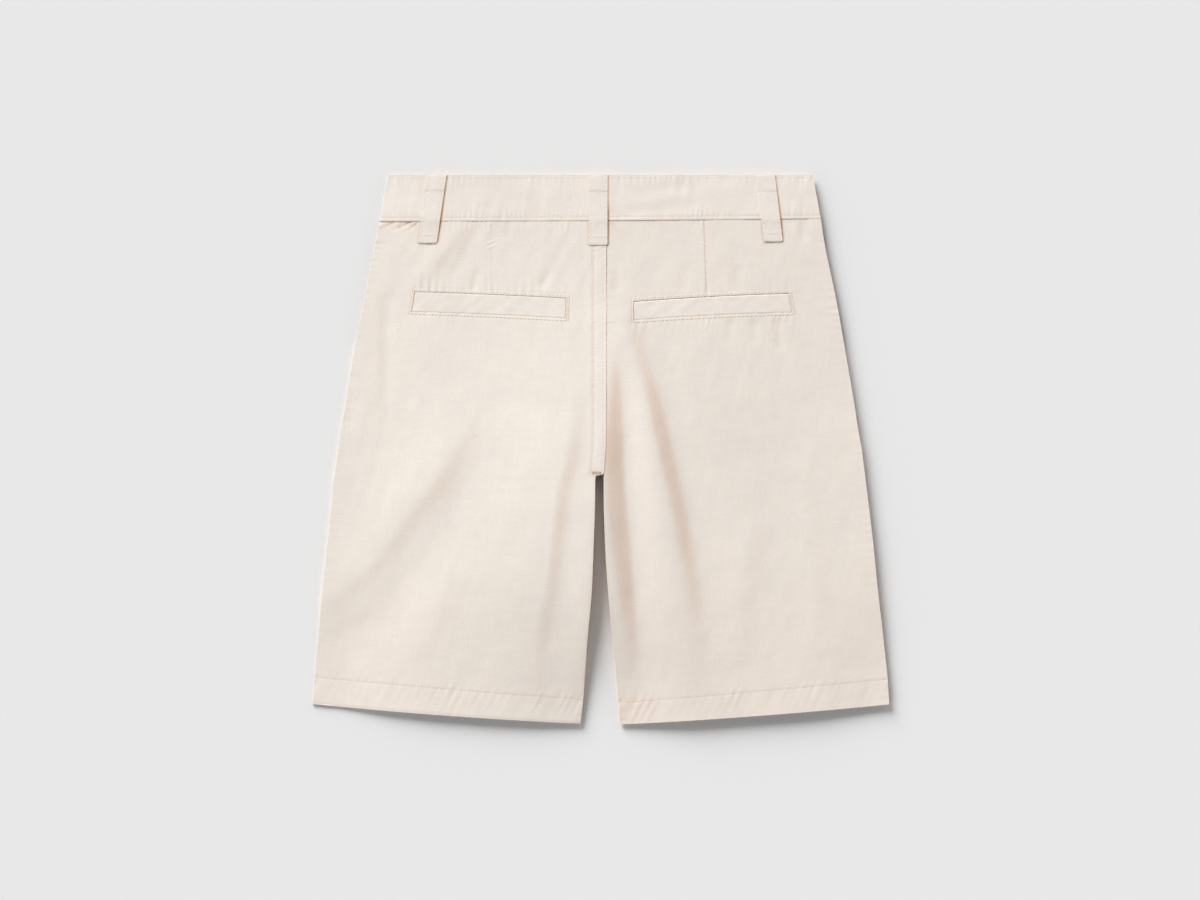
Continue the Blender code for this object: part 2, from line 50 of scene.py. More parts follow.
# ---------------------------------------------------------------- cloth and seams, mm
CLOTH = 0.6               # thickness of one layer
HEM_CLOTH = 1.3           # the turned hem
BAND_CLOTH = 1.1          # the faced waistband
LOOP_CLOTH = 0.36
WELT_CLOTH = 0.9
BACK_ROLL = 0.2           # the back turns down over this much at a seam
FRONT_ROLL = 9.0          # the front rises to the seam over this much
SEAM_HEIGHT = 3.5         # where back and front meet
SEAM_RISE = 0.25          # and how much higher they meet at the waist
SEAM_GAP = 0.08           # each layer stays this far from that height
SEAM_SINK = 0.86          # share of the back's sinking that the side seams follow
BACK_HEIGHT = 5.2         # upper side of the back where no fold lifts it
BAND_HEIGHT = 5.40        # upper side of the back waistband
BAND_FALL = 0.8           # and how much lower its top edge is
BAND_UNDER = 2.1          # underside of the front waistband
FRONT_LIFT = 0.2          # the front's lowest places are this far off the floor
FOLD_SCALE = 1.3
EDGE_ZONE = 14.0          # columns closer to a seam than this keep their distance to it
STEP_GROWTH = 0.22        # the steps of a mesh grow by this share of the distance from its fine places
STITCH_PITCH = 2.92
SEAT_STITCH_PITCH = 2.6   # the seat seam is sewn finer
STITCH_LENGTH = 2.0
STITCH_RADIUS = 0.24
STITCH_FLATNESS = 0.75    # height over width
BAR_PITCH = 0.62          # between the stitches of a bar tack
SEAT_ROWS = (1.9, 8.9)    # rows of stitches on the seat seam's lap, from its edge
FELL_WIDTH = 10.6
FELL_RISE = 0.2           # the lap stands this far above the panel
BAND_ROWS = (3.0, 2.0)    # rows of stitches above the waistband's bottom and below its top
POCKET_ROW = 1.7          # rows of stitches above and below a pocket
LOOP_ROW = 1.9            # rows of stitches inside a belt loop's edges

# Where layers lie higher: by how much, and the stretches in x and in y over which they rise.
Lift = namedtuple("Lift", "height x_ramps y_ramps")
WAIST_RISE_Y = (113.0, 149.0)
BELOW_WAIST_Y = ((176.0, 0.0), (-215.0, -85.0))
FLY_STACK = Lift(0.25, ((-60.0, -16.0), (90.0, 30.0)), ((92.0, 145.0),))
FLY_LAP = Lift(1.25, ((34.0, 20.0),), ((50.0, 70.0),))
FRONT_RISE = Lift(1.9, (), (WAIST_RISE_Y,))
BACK_LIFTS = (
    Lift(1.5, ((-157.0, -12.0), (163.0, 18.0)), BELOW_WAIST_Y),              # between the legs
    Lift(2.8, ((-185.0, -20.0), (200.0, 0.0)), BELOW_WAIST_Y),               # along the left inseam
    Lift(0.2, ((-215.0, -170.0), (-42.0, -125.0)), ((-60.0, -195.0),)),      # the left leg's mouth
    Lift(1.0, ((5.0, 60.0), (230.0, 130.0)), ((-20.0, -195.0),)),            # the right leg's mouth
    Lift(-0.66, ((90.0, 200.0),), ()),                                       # lower at the right side seam,
    Lift(0.96, ((90.0, 200.0),), ((60.0, -20.0),)),                          # but higher below the hip
    Lift(-1.9, ((-110.0, -190.0),), ()),                                     # lower at the left side seam
)
# Corners of the mouths that turn down: where, and how far.
CORNER_DROPS = (
    ((-212.0, -190.0), 1.5),
    ((-24.0, -208.0), 0.7),
    ((12.0, -204.0), 1.7),
    ((210.0, -188.0), 1.2),
)
CORNER_REACH = (62.0, 14.0)

# ---------------------------------------------------------------- outlines, mm
# One row for each level of a panel, for the left and the right leg: the side seam and the inner edge
# (the seat seam down to the fork, the inseam below the crotch), and how far the inner edge is rolled.
Level = namedtuple("Level", "side_x side_y inner_x inner_y roll")
LEVEL_ROWS = {
    "waist seam": ((-161.5, 166.6, 4.2, 167.0, 0.0), (161.0, 168.6, 4.28, 167.0, 0.0)),
    "loop ends": ((-165.0, 150.5, 4.2, 148.5, 0.0), (163.7, 150.5, 4.28, 148.5, 0.0)),
    "pocket top": ((-171.5, 116.5, 4.2, 109.0, 0.0), (171.0, 115.5, 4.28, 106.5, 0.0)),
    "pocket bottom": ((-174.5, 102.0, 4.2, 94.0, 0.0), (173.7, 101.5, 4.28, 93.0, 0.0)),
    "seat": ((-180.5, 71.0, 4.2, 58.0, 0.0), (179.0, 71.0, 4.28, 58.0, 0.0)),
    "hip": ((-186.0, 36.0, 4.2, 18.0, 0.0), (185.0, 36.0, 4.28, 18.0, 0.0)),
    "rise": ((-190.0, 13.0, 3.9, 1.0, 0.0), (188.5, 13.0, 4.0, 1.0, 0.0)),
    "fork": ((-192.0, -0.5, 3.1, -8.5, 0.0), (191.0, -0.5, 3.2, -8.5, 0.0)),
    "crotch": ((-193.2, -9.5, 2.1, -17.9, 0.0), (192.0, -9.5, 2.3, -15.5, 0.0)),
    "crotch corner": ((-194.2, -15.5, -3.2, -19.3, 0.8), (192.8, -15.5, 2.2, -19.0, 0.8)),
    "inseam top": ((-195.2, -21.5, -3.7, -22.5, 1.0), (193.5, -21.5, 2.2, -22.5, 1.0)),
    "inseam": ((-196.5, -36.0, -3.9, -38.5, 1.0), (195.3, -36.0, 2.3, -38.5, 1.0)),
    "thigh": ((-199.5, -66.0, -4.9, -69.5, 1.0), (198.9, -66.0, 3.3, -69.5, 1.0)),
    "above knee": ((-203.0, -99.0, -6.2, -102.5, 1.0), (202.2, -99.0, 5.4, -102.5, 1.0)),
    "knee": ((-206.0, -130.5, -9.2, -136.0, 1.0), (205.8, -130.5, 8.5, -136.0, 1.0)),
    "hem seam": ((-209.3, -166.3, -12.6, -182.5, 1.0), (209.8, -167.5, 13.0, -185.0, 1.0)),
    "hem edge": ((-211.0, -186.2, -14.6, -200.4, 1.0), (211.0, -186.2, 14.2, -201.0, 1.0)),
}
LEVEL = {name: float(i) for i, name in enumerate(LEVEL_ROWS)}
LEVELS = {
    "left": [Level(*left) for left, _ in LEVEL_ROWS.values()],
    "right": [Level(*right) for _, right in LEVEL_ROWS.values()],
}
WAIST_Y = LEVELS["left"][0].inner_y
HEM_BOW = 1.0             # the hems hang lower by this much at mid width
HEM_FOLD = (17.0, 18.6)   # the hem's outer side turns down this far below its row of stitches
HEM_FOLD_DROP = 0.15
HEM_RIPPLES = (0.085, 6.2)          # depth and spacing
FLY_DOWN = (98.0, 82.0)   # the fly's lap ends this far below the waist seam
YOKE_DOWN = (95.0, 60.0)  # and the drag lines under the waistband here
RIGHT_HEM_CORNER = (20.0, -190.0)
CROTCH_POINT = (-4.2, -16.5)

WAIST_TOP_Y = 200.3
FRONT_TUCK = 1.2          # the front waistband ends this much below the back one
WAIST_TOP_X = (-155.5, 155.1)
BUTTONHOLE_END_X = 13.0
BUTTON_END_X = -13.0
BUTTON_CENTRE = (2.0, 184.0)
LABEL_X = -23.0

# What differs between the left and the right leg. A pocket's window is given as shares of the panel's
# width between its two edge zones, from the inner edge. The darts run from the waist seam to the
# pockets' mouths. The shading entries are strengths of the painted shade along the pocket's mouth,
# the dart and the waist seam.
LEGS = {
    "pocket window": ((0.105, 0.850), (0.044, 0.858)),
    "pocket bow": (0.7, 1.2),
    "pocket ripples": (1.0, 0.6),
    "mouth shading": (0.55, 1.0),
    "welt drop": (0.12, 0.35),
    "dart top": ((-80.0, 168.0), (75.3, 168.0)),
    "dart foot": ((-80.3, 115.0), (77.0, 113.6)),
    "dart step": (-0.02, -0.10),
    "dart slant": (-0.35, 0.35),
    "dart shading": (0.15, 0.5),
    "waist ripples": (1.0, 0.4),
    "waist shading": (0.9, 0.7),
    "fly shift": (8.8, -17.6),
}
WELT_DOWN = (0.22, 0.1)   # a welt's ends lie this far below the top and the bottom of its window

LOOP_FOLDS = (12.4, 7.0)  # ends of the turned cloth, from a loop's top and from its foot
LOOP_TACKS = (11.6, 5.7)  # the tacks beside them
LOOP_CORNER = 1.8         # radius of a loop's lower corners
LOOP_SLACK = 0.62         # the loops stand highest at this share of their length


class Loop(namedtuple("Loop", "node top bottom width")):
    """A belt loop. Places on it are down from its top end and across from its middle."""

    @property
    def length(self):
        return math.dist(self.top, self.bottom)

    @property
    def half(self):
        return 0.5 * self.width

    @property
    def tacks(self):
        return LOOP_TACKS[0], self.length - LOOP_TACKS[1]

    def slack(self, down, reach):
        """1 where the loop has most slack, less away from there."""
        return bell(down - LOOP_SLACK * self.length, reach * self.length)


BACK_LOOPS = (
    Loop("belt_loop_back_left", (-119.6, 200.6), (-126.7, 150.4), 14.4),
    Loop("belt_loop_back_centre", (-1.7, 200.6), (-1.8, 149.0), 13.9),
    Loop("belt_loop_back_right", (120.3, 200.6), (126.2, 151.6), 14.0),
)
FRONT_LOOPS = (
    Loop("belt_loop_front_left", (-80.0, 200.6), (-82.0, 151.0), 13.4),
    Loop("belt_loop_front_right", (80.0, 200.6), (82.0, 151.0), 13.4),
)
PANEL_LOOP = {"left": BACK_LOOPS[0], "right": BACK_LOOPS[2]}

# ---------------------------------------------------------------- folds, mm
# Soft ridges (height over 0) and troughs (below 0) along a line of points from the waist down. reach is
# how far each goes towards the wearer's left and right of that line.
Fold = namedtuple("Fold", "reach points")

BACK_FOLDS = (
    # right leg: the crest along the inseam and the trough beside it
    Fold((85, 11), ((6, 110, 0.0), (5, 84, 0.15), (4, 60, 0.4), (2, 30, 0.9), (0, 4, 1.6), (-1, -20, 2.25),
                    (1, -42, 2.7), (3, -65, 2.6), (8, -100, 1.9), (12, -135, 0.7), (14, -168, 0.2))),
    Fold((7, 13), ((16, 66, -0.3), (17, 25, -0.8), (18, -5, -1.1), (20, -30, -1.1), (23, -60, -1.0),
                   (26, -100, -0.9), (29, -135, -0.5), (31, -165, -0.2))),
    # right leg: the second descent, from the pocket's inner end down to mid leg
    Fold((16, 10), ((14, 92, 0.4), (21, 66, 1.0), (31, 38, 1.6), (38, 8, 2.0), (46, -27, 1.8),
                    (53, -62, 1.25), (58, -97, 0.65), (62, -132, 0.4), (66, -167, 0.2))),
    Fold((9, 22), ((27, 97, -0.15), (34, 76, -0.6), (43, 45, -1.1), (52, 12, -1.2), (60, -20, -1.1),
                   (68, -55, -0.9), (74, -90, -0.7), (79, -125, -0.5), (84, -160, -0.3))),
    Fold((9, 9), ((74, -135, 0.25), (82, -155, 0.3), (91, -180, 0.2))),
    # right leg: the hem's inner corner turns down
    Fold((14, 12), ((16, -180, -0.3), (19, -200, -0.6))),
    # left leg: the ridge and trough of the inner thigh
    Fold((55, 9), ((-22, 30, 0.25), (-26, 0, 0.7), (-34, -36, 0.95), (-38, -71, 0.8), (-43, -107, 0.55),
                   (-50, -145, 0.35), (-51, -190, 0.25))),
    # left leg: the inner edge stands up a little
    Fold((14, 6), ((-7, -35, 0.2), (-7.5, -80, 0.6), (-8, -110, 0.8), (-9.5, -140, 0.8), (-13.5, -168, 0.5),
                   (-15.5, -190, 0.2))),
    # left leg: across the outer thigh
    Fold((24, 12), ((-100, 16, 0.3), (-114, -5, 0.75), (-127, -26, 0.9), (-142, -44, 0.8), (-157, -66, 0.7),
                    (-176, -88, 0.6), (-196, -104, 0.5))),
    Fold((11, 22), ((-82, -8, -0.2), (-96, -32, -0.35), (-108, -54, -0.35), (-122, -75, -0.35),
                    (-140, -98, -0.35), (-160, -120, -0.4), (-180, -134, -0.4))),
    Fold((16, 13), ((-108, -96, 0.2), (-123, -122, 0.3), (-136, -142, 0.25), (-150, -160, 0.1))),
    # beside the left side seam
    Fold((5, 5), ((-156, 109, -0.2), (-156, 60, -0.25), (-157, 21, -0.1))),
    Fold((5, 5), ((-183, 51, -0.25), (-184, 21, -0.2))),
    # drag lines from the left belt loop and under the waistband
    Fold((7, 5), ((-103, 161, 0.2), (-117, 142, 0.25), (-131, 124, 0.1))),
    Fold((5, 6), ((-91, 158, -0.15), (-104, 134, -0.15), (-112, 124, -0.05))),
    Fold((2.6, 2.6), ((-67, 165, -0.15), (-67, 156, -0.15))),
    Fold((2.4, 2.4), ((-159, 167, -0.14), (-150, 161.5, -0.14))),
    Fold((2.4, 2.4), ((-145, 166, -0.12), (-133, 160, -0.14))),
    Fold((3.2, 3.2), ((149, 167, -0.2), (149, 155, -0.2))),
    # above the pockets
    Fold((2.6, 2.6), ((-91, 128, -0.2), (-91.5, 119, -0.25))),
    Fold((3.0, 3.0), ((-38, 128, -0.15), (-41.5, 121, -0.25))),
    Fold((4.0, 4.0), ((12, 136, -0.12), (12, 118, -0.2))),
    Fold((3.6, 3.6), ((61.5, 131, -0.1), (61.5, 118, -0.15))),
    Fold((5.0, 5.0), ((100, 146, -0.1), (100.5, 118, -0.2))),
    # below the right pocket
    Fold((3.0, 3.0), ((94.5, 92, -0.25), (94, 80, -0.1))),
    Fold((3.0, 3.0), ((113, 92, -0.25), (113.5, 80, -0.15))),
    Fold((3.5, 3.5), ((130, 92, -0.25), (131, 76, -0.15))),
    # faint ones lower on the right leg
    Fold((12, 9), ((110, -60, 0.2), (103, -100, 0.25), (99, -150, 0.15))),
    Fold((12, 10), ((146, -20, 0.2), (154, -80, 0.25), (159, -140, 0.15))),
)
FRONT_FOLDS = (
    Fold((12, 12), ((-40, 30, -0.4), (-52, -40, -0.7), (-60, -110, -0.3))),
    Fold((10, 10), ((45, 36, -0.4), (56, -30, -0.7), (62, -105, -0.3))),
    Fold((14, 14), ((-150, 20, -0.3), (-140, -60, -0.5), (-125, -120, -0.3))),
    Fold((14, 14), ((152, 30, -0.3), (146, -50, -0.5), (130, -120, -0.3))),
)

# Short sharp creases: small troughs, with painted shade in them from the line tint.
CREASES = (
    Fold((1.0, 0.8), ((-160.5, 161.9, -0.12), (-152.2, 165.7, -0.24))),
    Fold((1.0, 0.8), ((-150.7, 161.1, -0.08), (-139.5, 165.7, -0.24))),
    Fold((1.0, 0.8), ((-143.7, 159.0, -0.06), (-134.7, 164.7, -0.20))),
    Fold((0.8, 0.8), ((7.5, 165.5, -0.07), (13.5, 158.5, -0.02))),
)

# ---------------------------------------------------------------- finer relief, mm
# Ripples beside a seam: depth, spacing along it, distance from it, reach, and the step to their seed.
RIPPLES = {
    "waist seam": (0.15, 4.2, 2.0, 5.0, 10),
    "side seam": (0.10, 5.5, 0.0, 5.0, 30),
    "inseam": (0.10, 5.0, 0.0, 4.5, 40),
    "seat seam": (0.06, 3.8, 0.0, 6.0, 50),
    "dart": (0.09, 3.6, 0.0, 4.2, 60),
    "above pocket": (0.17, 5.0, 3.0, 7.0, 70),
    "below pocket": (0.09, 5.2, 3.0, 7.5, 80),
    "band bottom": (0.09, 3.7, 4.6, 3.2, 2),
    "band top": (0.08, 4.6, 3.0, 3.2, 3),
    "loop row": (0.04, 3.4, LOOP_ROW, 1.6, 0),
}
# Creases that run one way: depth, spacing, length over width, degrees from +X, and the step to their seed.
DRAGS = {
    "yoke, leaning": (0.065, 5.5, 4.5, 62.0, 11),
    "yoke, upright": (0.035, 4.0, 3.5, 97.0, 12),
    "panel": (0.045, 6.0, 3.0, 75.0, 13),
    "hem": (0.06, 4.2, 3.0, 66.0, 21),
    "welt": (0.04, 4.0, 2.5, 40.0, 92),
    "band, upright": (0.10, 5.0, 4.0, 80.0, 4),
    "band, level": (0.10, 7.0, 5.0, 8.0, 5),
}
# Soft lines beside an edge, each with its strength, distance from the edge and reach. Grooves are heights
# in mm; line shades are painted shade, a share of the line tint that darkens seams, grooves, stitched
# lines and the cloth beside the belt loops.
GROOVES = {
    "waist seam": ((-0.05, 0.0, 0.7),),
    "hem": ((-0.07, 0.0, 0.55),),
    "seat lap": ((0.05, 0.6, 0.5), (-0.06, SEAT_ROWS[0], 0.6), (-0.14, SEAT_ROWS[1], 0.6)),
    "pocket": ((-0.10, 0.0, 0.4), (0.05, 1.2, 1.0), (-0.08, 2.2, 0.6)),
    "band bottom": ((-0.10, 0.0, 0.3), (-0.05, 3.0, 0.6)),
    "band top": ((-0.03, 0.0, 0.4), (-0.05, 2.2, 0.6)),
    "loop side": ((-0.04, LOOP_ROW, 0.55),),
    "loop top": ((-0.12, 0.0, 0.4),),
    "loop tack": ((-0.05, 0.0, 0.6),),
    "welt mouth": ((-1.0, 0.0, 0.3),),
    "welt foot": ((-0.15, 0.0, 0.35),),
    "welt end": ((-0.12, 0.0, 0.35),),
}
LINE_SHADES = {
    "waist seam": ((1.0, 0.1, 0.35),),
    "dart": ((1.0, 0.0, 0.3),),
    "pocket": ((1.0, 0.0, 0.35),),
    "seat edge": ((1.0, 0.0, 0.45),),
    "inseam": ((0.12, 0.0, 1.3),),
    "side seam": ((0.4, 0.0, 0.12),),
    "hem": ((0.22, 0.2, 0.5),),
    "seat lap": ((0.20, FELL_WIDTH, 0.7), (0.12, SEAT_ROWS[1], 0.6), (0.08, SEAT_ROWS[0], 0.5)),
    "crotch": ((0.35, 0.0, 2.4),),
    "band bottom": ((0.1, 0.0, 0.4), (0.26, 3.0, 0.5)),
    "band top": ((0.5, 0.0, 0.4), (0.12, 2.2, 0.5)),
    "loop end": ((0.4, 0.0, 0.35),),
    "loop side": ((0.20, 0.0, 0.35),),
    "loop's right side": ((0.7, 0.0, 0.3),),
    "right of loop": ((1.0, 0.4, 0.8),),
    "left of loop": ((1.0, 0.0, 0.6),),
    "loop row": ((0.10, LOOP_ROW, 0.5),),
    "loop tack": ((0.40, 0.0, 0.45),),
    "below loop": ((0.8, 0.1, 0.45),),
    "welt mouth": ((1.0, 0.0, 0.35),),
    "welt foot": ((0.25, 0.0, 0.4),),
    "welt end": ((0.16, 0.0, 0.4),),
}
# The same for the share of the deep tint: painted shade beside the seat seam's lap, at the right hem's
# turned-down inner corner and along the fronts' inner edges and side seams.
DEEP_SHADES = {
    "seat edge": ((0.12, 0.0, 9.0),),
    "right hem corner": ((0.09, 0.0, 9.0),),
    "front inner edge": ((0.6, 0.0, 7.0),),
    "front side seam": ((0.2, 0.0, 5.0),),
}
# What no pressing takes out of washed cotton: depth and spacing of each layer of noise.
CLOTH_UNEVENNESS = ((0.10, 34.0), (0.05, 13.0), (0.018, 5.0))
BAND_UNEVENNESS = ((0.10, 26.0), (0.035, 9.0))

# ---------------------------------------------------------------- colours, linear
LEFT_COLOUR = (0.804, 0.735, 0.668)
# the right back and front are a little darker than the left: painted shade of the light falling off to the
# right
RIGHT_SHADED_COLOUR = (0.795, 0.723, 0.656)
BAND_COLOUR = (0.802, 0.737, 0.674)
DEEP_SHADE_TINT = (0.96, 0.52, 0.23)    # painted shade: warm darkening where shade falls on folds and along the fronts' edges
LINE_SHADE_TINT = (0.80, 0.54, 0.34)    # painted shade: warm darkening in seams, grooves, stitched lines and beside the loops
THREAD_COLOUR = (0.730, 0.585, 0.450)
PALE_THREAD_COLOUR = (0.840, 0.765, 0.690)
BROWN_THREAD_COLOUR = (0.450, 0.330, 0.245)
BUTTON_COLOUR = (0.36, 0.25, 0.16)
BUTTON_DARK = (0.16, 0.10, 0.06)
FLOOR_COLOUR = (0.800, 0.800, 0.800)


# ---------------------------------------------------------------- numbers
def smooth(t):
    t = np.clip(t, 0.0, 1.0)
    return t * t * (3.0 - 2.0 * t)


def ramp(value, start, end):
    """Ease from 0 at start to 1 at end, in either direction."""
    return smooth((np.asarray(value, float) - start) / (end - start))


def mix(a, b, t):
    return a + (b - a) * t


def bell(distance, reach):
    return np.exp(-(distance / reach) ** 2)


def arch(share):
    """0 at both ends and 1 in the middle."""
    return 4.0 * share * (1.0 - share)


def from_point(x, y, point, x_scale, y_scale):
    """Distance from a point, scaled in x and in y."""
    return np.hypot(x_scale * (x - point[0]), y_scale * (y - point[1]))


def noise_line(value, pitch, seed):
    """Smooth noise from -1 to 1 along a line, with bumps about one pitch apart."""
    table = np.random.default_rng(seed).uniform(-1.0, 1.0, 4096)
    value = np.asarray(value, float) / pitch + 1000.0
    cell = np.floor(value).astype(int)
    return mix(table[cell % 4096], table[(cell + 1) % 4096], smooth(value - cell))


def noise_field(x, y, pitch, seed):
    """Smooth noise from -1 to 1 over a surface."""
    table = np.random.default_rng(seed).uniform(-1.0, 1.0, (256, 256))
    x = np.asarray(x, float) / pitch + 1000.0
    y = np.asarray(y, float) / pitch + 1000.0
    i = np.floor(x).astype(int)
    j = np.floor(y).astype(int)
    u = smooth(x - i)
    low = mix(table[i % 256, j % 256], table[(i + 1) % 256, j % 256], u)
    high = mix(table[i % 256, (j + 1) % 256], table[(i + 1) % 256, (j + 1) % 256], u)
    return mix(low, high, smooth(y - j))


def unevenness(x, y, layers, seed):
    return sum(depth * noise_field(x, y, pitch, seed + k) for k, (depth, pitch) in enumerate(layers))


def puckers(along, pitch, seed):
    """Uneven ripples across a seam: their spacing and depth both wander."""
    phase = along / pitch + 0.55 * noise_line(along, 2.3 * pitch, seed)
    depth = 0.55 + 0.45 * noise_line(along, 3.7 * pitch, seed + 1)
    return np.sin(2.0 * np.pi * phase) * depth


def ripples(kind, along, away, seed):
    """Ripples beside a seam, at a place along it and away from it."""
    depth, pitch, distance, reach, step = RIPPLES[kind]
    return depth * puckers(along, pitch, seed + step) * bell(away - distance, reach)


def drags(kind, x, y, seed):
    """Fine creases that all run one way."""
    depth, pitch, stretch, angle, step = DRAGS[kind]
    angle = math.radians(angle)
    along = (x * math.cos(angle) + y * math.sin(angle)) / stretch
    across = y * math.cos(angle) - x * math.sin(angle)
    return depth * noise_field(along, across, pitch, seed + step)


def lines(rows, away):
    """The sum of some soft lines, away from the edge they belong to."""
    return sum(strength * bell(away - distance, reach) for strength, distance, reach in rows)


def groove(kind, away):
    return lines(GROOVES[kind], away)


def line_shade(kind, away):
    return lines(LINE_SHADES[kind], away)


def deep_shade(kind, away):
    return lines(DEEP_SHADES[kind], away)


def curve_through(values, t):
    """Monotone cubic through values at 0, 1, 2, ..."""
    values = np.asarray(values, float)
    steps = np.diff(values)
    slopes = np.zeros_like(values)
    same = steps[:-1] * steps[1:] > 0.0
    total = np.where(same, steps[:-1] + steps[1:], 1.0)
    slopes[1:-1] = np.where(same, 2.0 * steps[:-1] * steps[1:] / total, 0.0)
    slopes[0] = steps[0]
    slopes[-1] = steps[-1]
    i = np.clip(np.floor(t).astype(int), 0, len(values) - 2)
    u = t - i
    return (
        values[i] * (1.0 + 2.0 * u) * (1.0 - u) ** 2 + values[i + 1] * u * u * (3.0 - 2.0 * u)
        + slopes[i] * u * (1.0 - u) ** 2 + slopes[i + 1] * u * u * (u - 1.0)
    )


def stations(start, stop, coarse, fine, spots=()):
    """Places from start to stop: fine beside the spots, coarse away from them, each spot included."""
    spots = sorted(set(spots) | {start, stop})
    places = []
    for a, b in zip(spots, spots[1:]):
        stretch = [a]
        while stretch[-1] < b:
            here = stretch[-1]
            near = min(abs(here - a), abs(b - here))
            stretch.append(here + min(coarse, fine + STEP_GROWTH * near))
        scale = (b - a) / (stretch[-1] - a)
        places += [a + (place - a) * scale for place in stretch[:-1]]
    return np.array(places + [stop])


def rolled_edge(reach):
    """Places over a rolled edge, from the seam to just past the roll."""
    angles = np.radians([0, 14, 28, 42, 56, 70])
    return list(reach * (1.0 - np.cos(angles))) + [reach, reach + 0.03]


def fold_run(points):
    """The fold's line with three places between each two of its points, without corners."""
    points = np.array(points, float)
    if len(points) < 3:
        return points
    fine = np.linspace(0.0, len(points) - 1.0, 4 * (len(points) - 1) + 1)
    return np.stack([curve_through(column, fine) for column in points.T], -1)


def fold_height(x, y, folds):
    total = np.zeros_like(x)
    for fold in folds:
        points = fold_run(fold.points)
        distance = np.full_like(x, 1e9)
        height = np.zeros_like(x)
        reach = np.ones_like(x)
        for a, b in zip(points, points[1:]):
            dx = b[0] - a[0]
            dy = b[1] - a[1]
            t = np.clip(((x - a[0]) * dx + (y - a[1]) * dy) / (dx * dx + dy * dy), 0.0, 1.0)
            here = np.hypot(x - mix(a[0], b[0], t), y - mix(a[1], b[1], t))
            closer = here < distance
            aside = (dx * (y - a[1]) - dy * (x - a[0])) / (math.hypot(dx, dy) * np.maximum(here, 1e-6))
            side_reach = mix(fold.reach[0], fold.reach[1], 0.5 + 0.5 * np.clip(aside, -1.0, 1.0))
            distance = np.where(closer, here, distance)
            height = np.where(closer, mix(a[2], b[2], t), height)
            reach = np.where(closer, side_reach, reach)
        total += FOLD_SCALE * height * bell(distance, reach)
    return total


# ---------------------------------------------------------------- heights of the layers
def lifted(x, y, *lifts):
    total = np.zeros_like(x)
    for lift in lifts:
        part = lift.height
        for value, ramps in ((x, lift.x_ramps), (y, lift.y_ramps)):
            for start, end in ramps:
                part = part * ramp(value, start, end)
        total += part
    return total


def lie(x, y):
    """How the back lies over the front: higher at the fork and the mouths, lower along the left side."""
    height = lifted(x, y, *BACK_LIFTS)
    for corner, drop in CORNER_DROPS:
        height -= drop * ramp(from_point(x, y, corner, 1.0, 0.7), *CORNER_REACH)
    return height


def over_front(x, y):
    """How much higher the back lies than on a flat front."""
    return lifted(x, y, FLY_STACK) + lie(x, y)


def seam_height(x, y):
    """The side seams sink with the back."""
    return SEAM_HEIGHT + SEAM_RISE * ramp(y, *WAIST_RISE_Y) + SEAM_SINK * np.minimum(lie(x, y), 0.0)


# ---------------------------------------------------------------- meshes
def make_mesh(name, points, faces, material, smooth_faces=True, shades=None):
    """shades has how much of the deep tint and of the line tint, both painted shade, each point takes, from 0
    to 1.
    """
    mesh = bpy.data.meshes.new(name)
    points = np.asarray(points, np.float32) * MM
    mesh.from_pydata(points.tolist(), [], [list(map(int, face)) for face in faces])
    mesh.materials.append(material)
    for kind, shade in (shades or {}).items():
        kept = mesh.attributes.new(kind, "FLOAT", "POINT")
        kept.data.foreach_set("value", np.clip(shade, 0.0, 1.0).astype(np.float32))
    if smooth_faces:
        mesh.shade_smooth()
        mesh.set_sharp_from_angle(angle=math.radians(50.0))
    mesh.validate()
    piece = bpy.data.objects.new(name, mesh)
    bpy.context.scene.collection.objects.link(piece)
    return piece


def shell(name, outer, inner, material, shades, outward, window=None):
    """A closed shell between two grids of points. window is the block of cells that is left open."""
    rows, columns = outer.shape[:2]
    keep = np.ones((rows - 1, columns - 1), bool)
    if window:
        keep[window[0]:window[1], window[2]:window[3]] = False
    index = np.arange(rows * columns).reshape(rows, columns)
    under = rows * columns
    i, j = np.nonzero(keep)
    a = index[i, j]
    b = index[i, j + 1]
    c = index[i + 1, j + 1]
    d = index[i + 1, j]
    top = np.stack([a, b, c, d], 1)
    faces = [top[:, ::-1], top + under]
    padded = np.pad(keep, 1)
    for di, dj, first, second in ((-1, 0, a, b), (1, 0, c, d), (0, -1, d, a), (0, 1, b, c)):
        edge = ~padded[i + 1 + di, j + 1 + dj]
        faces.append(np.stack([first, second, second + under, first + under], 1)[edge])
    faces = np.concatenate(faces)
    if outward < 0:
        faces = faces[:, ::-1]
    points = np.concatenate([outer.reshape(-1, 3), inner.reshape(-1, 3)])
    used = np.zeros(len(points), bool)
    used[faces.ravel()] = True
    order = np.cumsum(used) - 1
    shades = {kind: np.tile(shade.ravel(), 2)[used] for kind, shade in shades.items()}
    return make_mesh(name, points[used], order[faces], material, shades=shades)


STITCH_RINGS = ((-0.5, 0.25), (-0.36, 0.85), (0.0, 1.0), (0.36, 0.85), (0.5, 0.25))
STITCH_SIDES = 6


